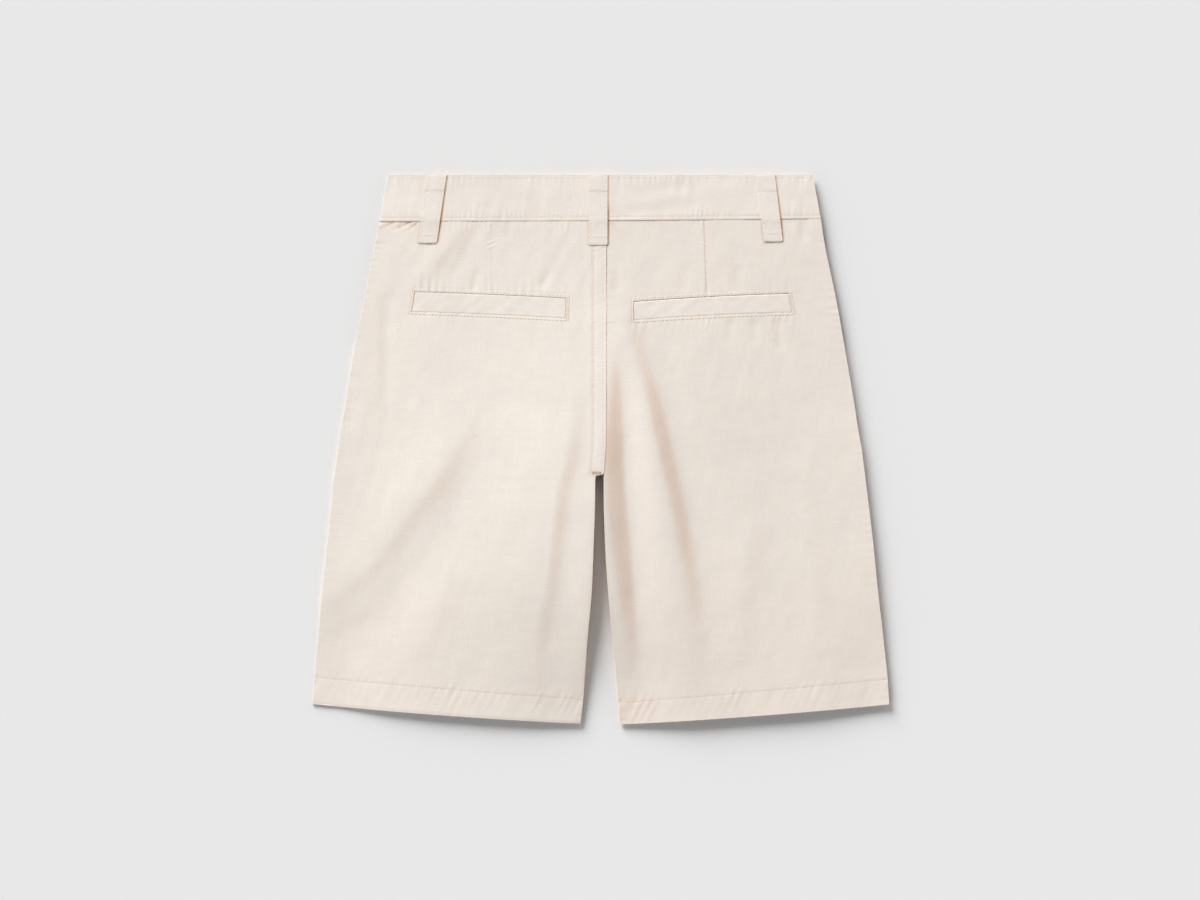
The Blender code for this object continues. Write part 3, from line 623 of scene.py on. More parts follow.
class Thread:
    """Collects the stitches of one piece and makes one mesh of them."""

    def __init__(self):
        self.points = []
        self.faces = []

    def add(self, centre, direction, length, radius):
        """One stitch: a short rounded float of thread lying along direction."""
        direction = np.asarray(direction, float)
        direction = direction / np.linalg.norm(direction)
        side = np.cross((0.0, 0.0, 1.0), direction)
        side = side / max(np.linalg.norm(side), 1e-9)
        up = np.cross(direction, side)
        first = len(self.points)
        for along, share in STITCH_RINGS:
            for k in range(STITCH_SIDES):
                angle = 2.0 * math.pi * k / STITCH_SIDES
                offset = side * math.cos(angle) + up * math.sin(angle) * STITCH_FLATNESS
                self.points.append(centre + direction * along * length + offset * radius * share)
        for ring in range(len(STITCH_RINGS) - 1):
            for k in range(STITCH_SIDES):
                a = first + ring * STITCH_SIDES + k
                b = first + ring * STITCH_SIDES + (k + 1) % STITCH_SIDES
                self.faces.append((a, b, b + STITCH_SIDES, a + STITCH_SIDES))
        last = first + (len(STITCH_RINGS) - 1) * STITCH_SIDES
        self.faces.append(tuple(first + k for k in reversed(range(STITCH_SIDES))))
        self.faces.append(tuple(last + k for k in range(STITCH_SIDES)))

    def row(self, path, sink, seed, pitch=STITCH_PITCH, length=STITCH_LENGTH, radius=STITCH_RADIUS):
        """Stitches one pitch apart along a path of points, each a little out of line."""
        path = np.asarray(path, float)
        run = np.concatenate([[0.0], np.cumsum(np.linalg.norm(np.diff(path, axis=0), axis=1))])
        count = max(1, int(round(run[-1] / pitch)))
        rng = np.random.default_rng(seed)
        for k in range(count):
            here = (k + 0.5) / count * run[-1]
            ends = [np.array([np.interp(here + e, run, path[:, axis]) for axis in range(3)])
                    for e in (-0.5 * length, 0.5 * length)]
            centre = 0.5 * (ends[0] + ends[1])
            turn = rng.uniform(-0.05, 0.05) * length
            direction = ends[1] - ends[0]
            if np.linalg.norm(direction) < 0.2 * length:
                continue
            direction = direction + turn * np.array([-direction[1], direction[0], 0.0]) / length
            centre[2] -= sink
            self.add(centre, direction, length, radius)

    def bartack(self, start, end, across, width=1.7, radius=0.26, sink=0.0):
        """A bar of close stitches from start to end, each lying along across."""
        count = max(2, int(round(np.linalg.norm(end - start) / BAR_PITCH)))
        for k in range(count + 1):
            centre = mix(start, end, k / count)
            centre[2] -= sink
            self.add(centre, across, width, radius)

    def finish(self, name, material):
        piece = make_mesh(name, self.points, self.faces, material)
        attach(piece, "root")


def finish_cloth(piece, node):
    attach(piece, "root")
    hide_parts(node)


# ---------------------------------------------------------------- panels
class Panel:
    """One leg's back or front: places on it are a level t and a distance s from the inner edge."""

    def __init__(self, side, outward, seed):
        self.side = side
        self.outward = outward
        self.is_back = outward > 0
        self.seed = seed
        self.levels = LEVELS[side]
        self.own = {name: pair[side == "right"] for name, pair in LEGS.items()}
        self.window = self.own["pocket window"]
        self.reach = BACK_ROLL if self.is_back else FRONT_ROLL
        self.dense = np.linspace(0.0, len(self.levels) - 1.0, 1601)
        steps = []
        for end in ("side", "inner"):
            x, y = self.edge(end, self.dense)
            steps.append(np.hypot(np.diff(x), np.diff(y)))
        self.run = np.concatenate([[0.0], np.cumsum(0.5 * (steps[0] + steps[1]))])
        self.at = {name: float(self.down(t)) for name, t in LEVEL.items()}

    def pick(self, left, right):
        return left if self.side == "left" else right

    def edge(self, end, t):
        columns = [[getattr(level, end + axis) for level in self.levels] for axis in ("_x", "_y")]
        return [curve_through(column, t) for column in columns]

    def down(self, t):
        """How far below the waist seam a level is, along the leg."""
        return np.interp(t, self.dense, self.run)

    def level_at(self, down):
        return np.interp(down, self.run, self.dense)

    def width(self, t):
        side_x, side_y = self.edge("side", t)
        inner_x, inner_y = self.edge("inner", t)
        return np.hypot(side_x - inner_x, side_y - inner_y)

    def share_to_s(self, share, t):
        return EDGE_ZONE + share * (self.width(t) - 2.0 * EDGE_ZONE)

    def place(self, t, s):
        """X and Y of a point, before the cloth's thickness."""
        t, s = np.broadcast_arrays(np.asarray(t, float), np.asarray(s, float))
        side_x, side_y = self.edge("side", t)
        inner_x, inner_y = self.edge("inner", t)
        if not self.is_back:
            inner_x = inner_x + self.own["fly shift"] * ramp(self.down(t), *FLY_DOWN)
        width = np.hypot(side_x - inner_x, side_y - inner_y)
        share = s / width
        x = mix(inner_x, side_x, share)
        y = mix(inner_y, side_y, share)
        y -= HEM_BOW * ramp(t, LEVEL["hem seam"] - 1.0, LEVEL["hem edge"]) * arch(share)
        if self.is_back:
            along = np.clip((share - self.window[0]) / (self.window[1] - self.window[0]), 0.0, 1.0)
            y += self.own["pocket bow"] * arch(along) * bell(t - LEVEL["pocket top"] - 0.5, 1.3)
        return x, y, width

    def roll(self, t):
        return curve_through([level.roll for level in self.levels], t)

    def cloth(self, t):
        return mix(CLOTH, HEM_CLOTH, ramp(t, LEVEL["hem seam"] - 0.01, LEVEL["hem seam"] + 0.06))

    def relief(self, t, s, x, y, width):
        """Everything that shapes the cloth's outer side, above its plain height."""
        down = self.down(t)
        hem = down - self.at["hem seam"]
        height = fold_height(x, y, BACK_FOLDS if self.is_back else FRONT_FOLDS)
        height *= mix(1.0, 0.75, ramp(hem, -16.0, 2.0))
        if self.is_back:
            height += fold_height(x, y, CREASES)
        height += unevenness(x, y, CLOTH_UNEVENNESS, self.seed)
        # waist seam: the panel dips under the waistband and puckers below it
        share = self.own["waist ripples"]
        height += share * (groove("waist seam", down) + ripples("waist seam", x, down, self.seed))
        yoke = share * ramp(down, *YOKE_DOWN)
        height += yoke * (drags("yoke, leaning", x, y, self.seed) + drags("yoke, upright", x, y, self.seed))
        height += drags("panel", x, y, self.seed)
        # hem: a stitched line, ripples in the turned band, soft drags above it
        inside = ramp(hem, -9.0, 1.5) * mix(1.0, 0.35, ramp(hem, 6.0, 17.0))
        depth, pitch = HEM_RIPPLES
        height += depth * inside * puckers(x + 0.5 * hem, pitch, self.seed + 20)
        calm = self.pick(0.0, bell(from_point(x, y, RIGHT_HEM_CORNER, 1.0, 0.7), 12.0))
        height += inside * (1.0 - calm) * drags("hem", x, y, self.seed)
        height += groove("hem", hem) - HEM_FOLD_DROP * ramp(hem, *HEM_FOLD) ** 2
        # side seam and inseam draw the cloth a little
        height += ripples("side seam", y, width - s, self.seed)
        height += ripples("inseam", y, s, self.seed) * self.roll(t)
        if self.is_back:
            return height + self.seat_seam(t, s, y) + self.dart(x, y) + self.pocket(t, s)
        return np.minimum(height, self.base(x, y) - 0.65 * FRONT_LIFT)

    def seat_seam(self, t, s, y):
        """The left back is lapped over the right one, with two rows of stitches along the lap."""
        sewn = 1.0 - ramp(t, LEVEL["fork"] + 0.2, LEVEL["crotch corner"] + 0.4)
        if self.side == "right":
            return sewn * ripples("seat seam", y, s, self.seed)
        lap = FELL_RISE * (1.0 - ramp(s, FELL_WIDTH - 5.0, FELL_WIDTH + 7.0))
        on_lap = 1.0 - ramp(s, FELL_WIDTH - 3.0, FELL_WIDTH + 5.0)
        quilting = 0.05 * puckers(y + 0.4 * s, 4.6, self.seed + 50) * on_lap
        return sewn * (lap + groove("seat lap", s) + quilting)

    def dart(self, x, y):
        """The dart runs from the waist seam to the pocket's mouth."""
        across, reach = self.beside_dart(x, y)
        along = y + self.own["dart slant"] * across
        step = self.own["dart step"] * ramp(across, -0.35, 0.35) * bell(np.maximum(across, 0.0), 5.0)
        return reach * (step + ripples("dart", along, across, self.seed))

    def beside_dart(self, x, y):
        """How far right of the dart's line a place is, and how much of the dart reaches it."""
        foot_y = self.own["dart foot"][1]
        return x - self.dart_x(y), ramp(y, foot_y - 0.5, foot_y + 1.5)

    def dart_x(self, y):
        top_x, top_y = self.own["dart top"]
        foot_x, foot_y = self.own["dart foot"]
        return mix(top_x, foot_x, (top_y - y) / (top_y - foot_y))

    def dart_share(self, t):
        """Where the dart crosses a level, as a share of the width between the edge zones."""
        inner_x, inner_y = self.edge("inner", t)
        across = abs(self.dart_x(0.5 * (inner_y + self.edge("side", t)[1])) - inner_x)
        return (across - EDGE_ZONE) / (self.width(t) - 2.0 * EDGE_ZONE)

    def beside_window(self, t, s):
        """How far above, below and beside the pocket's window a place is, and how far from it in all."""
        down = self.down(t)
        above = self.at["pocket top"] - down
        below = down - self.at["pocket bottom"]
        beside = np.maximum(self.share_to_s(self.window[0], t) - s, s - self.share_to_s(self.window[1], t))
        away = np.hypot(np.maximum(np.maximum(above, below), 0.0), np.maximum(beside, 0.0))
        return above, below, beside, away

    def pocket(self, t, s):
        """Stitched frame around the pocket's window."""
        above, below, beside, away = self.beside_window(t, s)
        along = ramp(beside, 4.0, 0.0)
        height = groove("pocket", away)
        height += self.own["pocket ripples"] * ripples("above pocket", s, above, self.seed) * along
        return height + ripples("below pocket", s + 0.2 * below, below, self.seed) * along

    def shades(self, t, s, x, y, width):
        """Painted shade. tone: the deep tint on the sides of folds that fall away from the key light. line:
        the line tint along seams, welts, stitched lines and beside the loops.
        """
        if not self.is_back:
            # painted shade along the fronts' inner edges, in the gap between the legs, and along their side
            # seams
            return {"tone": deep_shade("front inner edge", s) + deep_shade("front side seam", width - s)}
        # painted shade: more deep tint where the folds fall away from the key light
        tone = 0.20 * ramp(fall(x, y, 5.0) - 0.25 * fall(x, y, 20.0), 0.0, 0.95)
        # the deep tint grows a little towards the hems: darker towards the bottom
        tone += 0.02 * ramp(y, -40.0, -160.0)
        down = self.down(t)
        across, dart = self.beside_dart(x, y)
        above, _, _, away = self.beside_window(t, s)
        roll = self.roll(t)
        line = self.own["waist shading"] * line_shade("waist seam", down)
        line += line_shade("inseam", s) * roll + line_shade("side seam", width - s)
        # painted shade in the hem's groove and inside the short creases
        line += line_shade("hem", down - self.at["hem seam"]) - 2.2 * fold_height(x, y, CREASES)
        line += self.own["dart shading"] * dart * line_shade("dart", across)
        line += mix(0.25, self.own["mouth shading"], ramp(above, 0.0, 0.2)) * line_shade("pocket", away)
        # painted shade along the seat seam: beside the lap's step on the right back, in the lap's rows and at
        # the fork on the left
        if self.side == "right":
            tone += deep_shade("right hem corner", from_point(x, y, RIGHT_HEM_CORNER, 0.6, 0.7))
            tone += (1.0 - roll) * ramp(y, 60.0, 5.0) * deep_shade("seat edge", s)
            line += (1.0 - roll) * mix(0.45, 0.7, ramp(y, 140.0, 0.0)) * line_shade("seat edge", s)
        else:
            line += (1.0 - roll) * line_shade("seat lap", s)
            line += line_shade("crotch", from_point(x, y, CROTCH_POINT, 1.0, 0.8))
        return {"tone": tone, "line": line + loop_shadows(x, y)}

    def base(self, x, y):
        if self.is_back:
            return BACK_HEIGHT + over_front(x, y)
        lap = lifted(x, y, FLY_LAP) if self.side == "right" else 0.0
        return FRONT_LIFT + lifted(x, y, FRONT_RISE) + lap

    def surface(self, t, s, depth=0.0):
        """Points of the cloth at level t, s from the inner edge, depth (0 outer side, 1 inner side)."""
        t, s = np.broadcast_arrays(np.asarray(t, float), np.asarray(s, float))
        x, y, width = self.place(t, s)
        thick = self.cloth(t) * depth
        inner_cos = np.clip(1.0 - s / self.reach, 0.0, 1.0)
        side_cos = np.clip(1.0 - (width - s) / self.reach, 0.0, 1.0)
        roll = self.roll(t)
        moved_x, moved_y, width = self.place(t, s + thick * (roll * inner_cos - side_cos))
        height = self.base(x, y) + self.outward * (self.relief(t, s, x, y, width) - thick)
        meet = seam_height(x, y) + self.outward * SEAM_GAP
        height = mix(height, mix(meet, height, np.sqrt(1.0 - inner_cos ** 2)), roll)
        height = mix(meet, height, np.sqrt(1.0 - side_cos ** 2))
        return np.stack([moved_x, moved_y, height], -1)

    def grid(self, t, coarse, fine):
        """Distances from the inner edge of every column at every level, and the window's two columns.

        A back has columns along its window, its belt loop and its dart, and they lean with the dart.
        """
        window = list(self.window) if self.is_back else []
        shares = list(window)
        if window:
            loop = PANEL_LOOP[self.side]
            for step in (-0.5, 0.5):
                x = abs(loop.bottom[0] + step * loop.width - self.levels[1].inner_x)
                shares.append((x - EDGE_ZONE) / (self.width(1.0) - 2.0 * EDGE_ZONE))
            dart = self.dart_share(LEVEL["pocket top"])
            lean = self.dart_share(np.minimum(t, LEVEL["pocket top"])) - dart
            shares.append(dart)
        rolled = rolled_edge(self.reach)
        edge = rolled + list(stations(rolled[-1], EDGE_ZONE, coarse, fine, SEAT_ROWS))[1:]
        plain = rolled + list(stations(rolled[-1], EDGE_ZONE, 2.0 * coarse, coarse))[1:]
        middle = self.width(2.0) - 2.0 * EDGE_ZONE
        between = stations(0.0, 1.0, coarse / middle, fine / middle, shares)
        width = self.width(t)
        columns = [np.full_like(t, s) for s in edge]
        for share in between[1:-1]:
            if window:
                share = share + lean * bell(share - dart, 0.16)
            columns.append(EDGE_ZONE + share * (width - 2.0 * EDGE_ZONE))
        columns += [width - s for s in reversed(plain)]
        cut = [len(edge) - 1 + int(np.argmin(abs(between - share))) for share in window]
        return np.stack(columns, 1), cut

    def make(self, name, material, coarse, fine):
        spots = [self.at["pocket top"], self.at["pocket bottom"], self.at["hem seam"]]
        if self.is_back:
            spots += [0.35, 17.0]
        t = self.level_at(stations(0.0, float(self.run[-1]), coarse, fine, spots))
        s, cut = self.grid(t, coarse, fine)
        block = None
        if cut:
            down = self.down(t)
            rows = [int(np.argmin(abs(down - self.at[name]))) for name in ("pocket top", "pocket bottom")]
            block = rows + cut
        t = np.broadcast_to(t[:, None], s.shape)
        shades = self.shades(t, s, *self.place(t, s))
        facing = self.outward * self.pick(-1, 1)
        return shell(name, self.surface(t, s), self.surface(t, s, 1.0), material, shades, facing, block)


def fall(x, y, step):
    """How much the folds of the back fall over two steps, away from the light."""
    dx = 0.8 * step
    dy = 0.6 * step
    return fold_height(x - dx, y + dy, BACK_FOLDS) - fold_height(x + dx, y - dy, BACK_FOLDS)


# ---------------------------------------------------------------- shader groups and materials
def set_inputs(tree, node, inputs):
    """Each input is a number, a colour or another node's output."""
    for key, value in inputs.items():
        if isinstance(value, bpy.types.NodeSocket):
            tree.links.new(value, node.inputs[key])
        else:
            node.inputs[key].default_value = value


def add_node(tree, kind, place, inputs=None, **settings):
    node = tree.nodes.new(kind)
    node.location = place
    for key, value in settings.items():
        setattr(node, key, value)
    set_inputs(tree, node, inputs or {})
    return node


def calculate(tree, operation, place, *values):
    """The output of a maths node."""
    return add_node(tree, "ShaderNodeMath", place, dict(enumerate(values)), operation=operation).outputs[0]


def opaque(colour):
    return (*colour, 1.0)


def twill_group():
    """Fine diagonal ribs of a cotton twill, with slubs and a soft mottling of the dye, and two tints of
    painted shade multiplied in: the deep tint by Tone, the line tint by Line.
    """
    group = bpy.data.node_groups.new("cotton twill", "ShaderNodeTree")
    inputs = (
        ("Vector", "Vector", (0.0, 0.0, 0.0)),
        ("Colour", "Color", opaque(LEFT_COLOUR)),
        ("Deep Tint", "Color", opaque(DEEP_SHADE_TINT)),
        ("Tone", "Float", 0.0),
        ("Line Tint", "Color", opaque(LINE_SHADE_TINT)),
        ("Line", "Float", 0.0),
        ("Rib Pitch", "Float", 0.55),
        ("Mottling", "Float", 0.03),
        ("Slubs", "Float", 0.5),
    )
    for label, kind, value in inputs:
        socket = group.interface.new_socket(label, in_out="INPUT", socket_type="NodeSocket" + kind)
        socket.default_value = value
    for label, kind in (("Colour", "Color"), ("Height", "Float")):
        group.interface.new_socket(label, in_out="OUTPUT", socket_type="NodeSocket" + kind)
    given = add_node(group, "NodeGroupInput", (-1100, 0)).outputs
    vector = given["Vector"]

    def noise(place, inputs):
        return add_node(group, "ShaderNodeTexNoise", place, inputs).outputs["Fac"]

    ribs = add_node(
        group, "ShaderNodeTexWave", (-500, 200),
        {"Vector": vector, "Scale": calculate(group, "DIVIDE", (-800, 300), 180.0, given["Rib Pitch"]),
         "Distortion": 0.6, "Detail": 1.0},
        wave_type="BANDS", bands_direction="DIAGONAL")
    slub = noise((-500, -100), {"Vector": vector, "Scale": 900.0, "Detail": 3.0})
    cloud = noise((-500, -350), {"Vector": vector, "Scale": 60.0, "Detail": 3.0, "Roughness": 0.6})
    streaks = []
    for low, stretch in ((-600, (90.0, 1000.0, 500.0)), (-850, (1000.0, 90.0, 500.0))):
        stretched = add_node(
            group, "ShaderNodeVectorMath", (-800, low), {0: vector, 1: stretch}, operation="MULTIPLY")
        streaks.append(noise((-500, low), {"Vector": stretched.outputs[0], "Scale": 1.0, "Detail": 2.0}))
    threads = calculate(group, "ADD", (-250, -600), *streaks)

    slubbed = calculate(group, "MULTIPLY", (-250, -50), slub, given["Slubs"])
    height = calculate(group, "ADD", (0, 150), ribs.outputs["Fac"], slubbed)
    both = calculate(group, "ADD", (-250, -300), slub, cloud)
    shades = calculate(group, "ADD", (-100, -400), both, threads)
    centred = calculate(group, "SUBTRACT", (0, -300), shades, 2.0)
    mottled = calculate(group, "MULTIPLY_ADD", (200, -300), centred, given["Mottling"], 1.0)
    colour = given["Colour"]
    # the two tints of painted shade
    for place, amount, tint in (((100, -550), "Tone", "Deep Tint"), ((250, -550), "Line", "Line Tint")):
        mixed = add_node(
            group, "ShaderNodeMix", place, {"Factor": given[amount], "A": colour, "B": given[tint]},
            data_type="RGBA", blend_type="MULTIPLY")
        colour = mixed.outputs["Result"]
    tinted = add_node(
        group, "ShaderNodeVectorMath", (400, -150), {0: colour, "Scale": mottled}, operation="SCALE")
    add_node(group, "NodeGroupOutput", (700, 0), {"Colour": tinted.outputs[0], "Height": height})
    return group


def new_material(name):
    material = bpy.data.materials.new(name)
    material.use_nodes = True
    return material, material.node_tree, material.node_tree.nodes["Principled BSDF"]


def twill_material(name, colour, rib_pitch, mottling, turn, bump=0.35):
    """Cream cotton: matt, with a little sheen from its nap. turn is the angle of the grain in degrees."""
    material, tree, shader = new_material(name)
    place = add_node(tree, "ShaderNodeTexCoord", (-900, 0)).outputs["Object"]
    grain = add_node(
        tree, "ShaderNodeMapping", (-700, 0), {"Vector": place, "Rotation": (0.0, 0.0, math.radians(turn))})
    # how much painted shade each point takes
    tone = add_node(tree, "ShaderNodeAttribute", (-700, -350), attribute_name="tone")
    line = add_node(tree, "ShaderNodeAttribute", (-700, -550), attribute_name="line")
    weave = add_node(
        tree, "ShaderNodeGroup", (-450, 0),
        {
            "Vector": grain.outputs["Vector"],
            "Colour": opaque(colour),
            "Deep Tint": opaque(DEEP_SHADE_TINT),
            "Tone": tone.outputs["Fac"],
            "Line Tint": opaque(LINE_SHADE_TINT),
            "Line": line.outputs["Fac"],
            "Rib Pitch": rib_pitch,
            "Mottling": mottling,
        },
        node_tree=TWILL)
    relief = add_node(
        tree, "ShaderNodeBump", (-200, -250),
        {"Strength": bump, "Distance": 0.06 * MM, "Height": weave.outputs["Height"]})
    set_inputs(tree, shader, {
        "Base Color": weave.outputs["Colour"],
        "Normal": relief.outputs["Normal"],
        "Roughness": 0.92,
        "Specular IOR Level": 0.18,
        "Sheen Weight": 0.12,
        "Sheen Roughness": 0.5,
        "Sheen Tint": (1.0, 0.95, 0.9, 1.0),
    })
    return material


def resin_material():
    """Horn-coloured resin of the waist button."""
    material, tree, shader = new_material("horn_resin")
    place = add_node(tree, "ShaderNodeTexCoord", (-900, 0)).outputs["Object"]
    swirl = add_node(
        tree, "ShaderNodeTexNoise", (-650, 0),
        {"Vector": place, "Scale": 350.0, "Detail": 4.0, "Distortion": 2.0})
    shades = add_node(tree, "ShaderNodeValToRGB", (-400, 0), {"Fac": swirl.outputs["Fac"]})
    for stop, position, colour in zip(shades.color_ramp.elements, (0.35, 0.7), (BUTTON_DARK, BUTTON_COLOUR)):
        stop.position = position
        stop.color = opaque(colour)
    set_inputs(tree, shader, {"Base Color": shades.outputs["Color"], "Roughness": 0.3, "Coat Weight": 0.3})
    return material


TWILL = twill_group()
PANEL_CLOTH = {
    "left": twill_material("cream_twill_left", LEFT_COLOUR, 0.55, 0.07, 0.0),
    "right": twill_material("cream_twill_right_shaded", RIGHT_SHADED_COLOUR, 0.55, 0.07, 0.0),
}
band_cloth = twill_material("cream_twill_band", BAND_COLOUR, 0.55, 0.07, 90.0)
trim_cloth = twill_material("cream_twill_trim", BAND_COLOUR, 0.5, 0.08, 35.0)
THREAD_GRAIN = math.degrees(0.3)
tan_thread = twill_material("tan_thread", THREAD_COLOUR, 0.3, 0.10, THREAD_GRAIN, 0.6)
pale_thread = twill_material("pale_thread", PALE_THREAD_COLOUR, 0.3, 0.10, THREAD_GRAIN, 0.6)
brown_thread = twill_material("brown_thread", BROWN_THREAD_COLOUR, 0.3, 0.10, THREAD_GRAIN, 0.6)
button_resin = resin_material()


# ---------------------------------------------------------------- waistband
class Waistband:
    """A faced strip: places on it are a height h above the waist seam and a share of its length from -X."""

    def __init__(self, outward, base_height, seed, ends=(None, None), sag=0.0):
        """ends has the X of each end that is lapped at the fly, and None for an end at a side seam."""
        self.outward = outward
        self.base_height = base_height
        self.seed = seed
        self.sag = sag
        self.rolls = [0.0 if x is not None else 1.0 for x in ends]
        self.reach = BACK_ROLL if outward > 0 else FRONT_ROLL
        top_y = WAIST_TOP_Y if outward > 0 else WAIST_TOP_Y - FRONT_TUCK
        self.bottom = []
        self.top = []
        for x, top_x, side in zip(ends, WAIST_TOP_X, ("left", "right")):
            level = LEVELS[side][0]
            self.bottom.append((level.side_x, level.side_y) if x is None else (x, level.inner_y))
            self.top.append((top_x if x is None else x, top_y))
        self.height = self.top[0][1] - self.bottom[0][1]
        self.length = math.dist(*self.bottom)

    def place(self, h, share):
        up = h / self.height
        ends = zip(self.bottom, self.top)
        left, right = [[mix(bottom[axis], top[axis], up) for axis in (0, 1)] for bottom, top in ends]
        x = mix(left[0], right[0], share)
        y = mix(left[1], right[1], share) - self.sag * (1.0 - up) * arch(share)
        return x, y

    def relief(self, h, x, y):
        """Rounded edges, stitch lines near both, ripples between them."""
        below_top = self.height - h
        height = unevenness(x, y, BAND_UNEVENNESS, self.seed)
        height += groove("band bottom", h) + groove("band top", below_top)
        height += ripples("band bottom", x, h, self.seed) + ripples("band top", x, below_top, self.seed)
        return height + drags("band, upright", x, y, self.seed) + drags("band, level", x, y, self.seed)

    def surface(self, h, share, depth=0.0):
        h, share = np.broadcast_arrays(np.asarray(h, float), np.asarray(share, float))
        s = share * self.length
        cos_left = np.clip(1.0 - s / self.reach, 0.0, 1.0) * self.rolls[0]
        cos_right = np.clip(1.0 - (self.length - s) / self.reach, 0.0, 1.0) * self.rolls[1]
        thick = BAND_CLOTH * depth
        x, y = self.place(h, share)
        moved_x, moved_y = self.place(h, share + thick * (cos_left - cos_right) / self.length)
        height = self.base_height(x, y) + self.outward * (self.relief(h, x, y) - thick)
        meet = seam_height(x, y) + self.outward * SEAM_GAP
        rise = np.sqrt(1.0 - np.maximum(cos_left, cos_right) ** 2)
        return np.stack([moved_x, moved_y, mix(meet, height, rise)], -1)

    def make(self, name, coarse, fine):
        h = stations(0.0, self.height, coarse, fine, [3.0, self.height - 2.2])
        near = rolled_edge(self.reach)
        s = near + list(stations(near[-1], self.length - near[-1], coarse, coarse))[1:]
        s += [self.length - place for place in near[-2::-1]]
        h, share = np.meshgrid(h, np.array(s) / self.length, indexing="ij")
        # painted shade along the band's edges and stitched rows, and the loops' painted shadows on the back
        # band
        line = line_shade("band bottom", h) + line_shade("band top", self.height - h)
        if self.outward > 0:
            line += loop_shadows(*self.place(h, share))
        outer = self.surface(h, share)
        return shell(name, outer, self.surface(h, share, 1.0), band_cloth, {"line": line}, self.outward)

    def stitch(self, thread):
        share = np.linspace(0.004, 0.996, 500)
        for k, h in enumerate((BAND_ROWS[0], self.height - BAND_ROWS[1])):
            thread.row(self.surface(h, share), sink=0.05 * self.outward, seed=21 + k)


def back_band_base(x, y):
    up = np.clip((y - WAIST_Y) / (WAIST_TOP_Y - WAIST_Y), 0.0, 1.0)
    return BAND_HEIGHT - BAND_FALL * up + over_front(x, y)


def left_band_base(x, y):
    return np.full_like(x, BAND_UNDER)


def right_band_base(x, y):
    return BAND_UNDER + lifted(x, y, FLY_LAP)


# ---------------------------------------------------------------- belt loops
def loop_shadows(x, y):
    """Painted shadows of the belt loops on the cloth beside them, most of it on their right and below their
    ends, where the key light casts them.
    """
    line = np.zeros_like(x)
    for loop in BACK_LOOPS:
        along_x = (loop.bottom[0] - loop.top[0]) / loop.length
        along_y = (loop.bottom[1] - loop.top[1]) / loop.length
        down = (x - loop.top[0]) * along_x + (y - loop.top[1]) * along_y
        across = (y - loop.top[1]) * along_x - (x - loop.top[0]) * along_y
        beside = ramp(down, loop.length - 0.5, loop.length - 2.0)
        right = beside * mix(0.55, 1.2, loop.slack(down, 0.24))
        right *= line_shade("right of loop", across - loop.half)
        low = ramp(down, 0.64 * loop.length, 0.70 * loop.length)
        left = beside * mix(0.1, 0.55, low) * line_shade("left of loop", across + loop.half)
        under_loop = ramp(abs(across), loop.half + 0.8, loop.half)
        below = line_shade("below loop", down - loop.length) * under_loop
        line = np.maximum(line, np.maximum(np.maximum(left, right), below))
    return line


def loop_surface(loop, down, across, under, outward, depth=0.0):
    """Points of a belt loop that lies on the height under, depth (0 outer side, 1 inner side)."""
    down, across = np.broadcast_arrays(np.asarray(down, float), np.asarray(across, float))
    to_foot = loop.length - down
    inset = loop.half - abs(across)
    edge = np.clip(abs(across) / loop.half, 0.0, 1.0)
    past = np.clip(1.0 - to_foot / LOOP_CORNER, 0.0, 1.0)
    corner = LOOP_CORNER * (1.0 - np.sqrt(1.0 - past ** 2))
    x = mix(loop.top[0], loop.bottom[0], down / loop.length) + across * (1.0 - corner / loop.half)
    y = mix(loop.top[1], loop.bottom[1], down / loop.length)
    seed = int(abs(loop.top[0])) + 5
    folded = 0.10 * (1.0 - ramp(down, LOOP_FOLDS[0] - 0.4, LOOP_FOLDS[0] + 0.5))
    folded += 0.06 * ramp(to_foot, LOOP_FOLDS[1] + 0.5, LOOP_FOLDS[1] - 0.4)
    height = folded + 0.15 * loop.slack(down, 0.2) + 0.03 * (1.0 - edge ** 2)
    height += groove("loop side", inset) + ripples("loop row", down, inset, seed)
    height += 0.05 * noise_field(x, y, 5.0, seed + 3)
    height += groove("loop top", down) - 0.16 * ramp(to_foot, 0.8, 0.0)
    for tack in loop.tacks:
        height += groove("loop tack", down - tack)
    z = under(x, y) + outward * (height + LOOP_CLOTH + 0.05 - LOOP_CLOTH * depth * (1.0 + folded))
    return np.stack([x, y, z], -1)


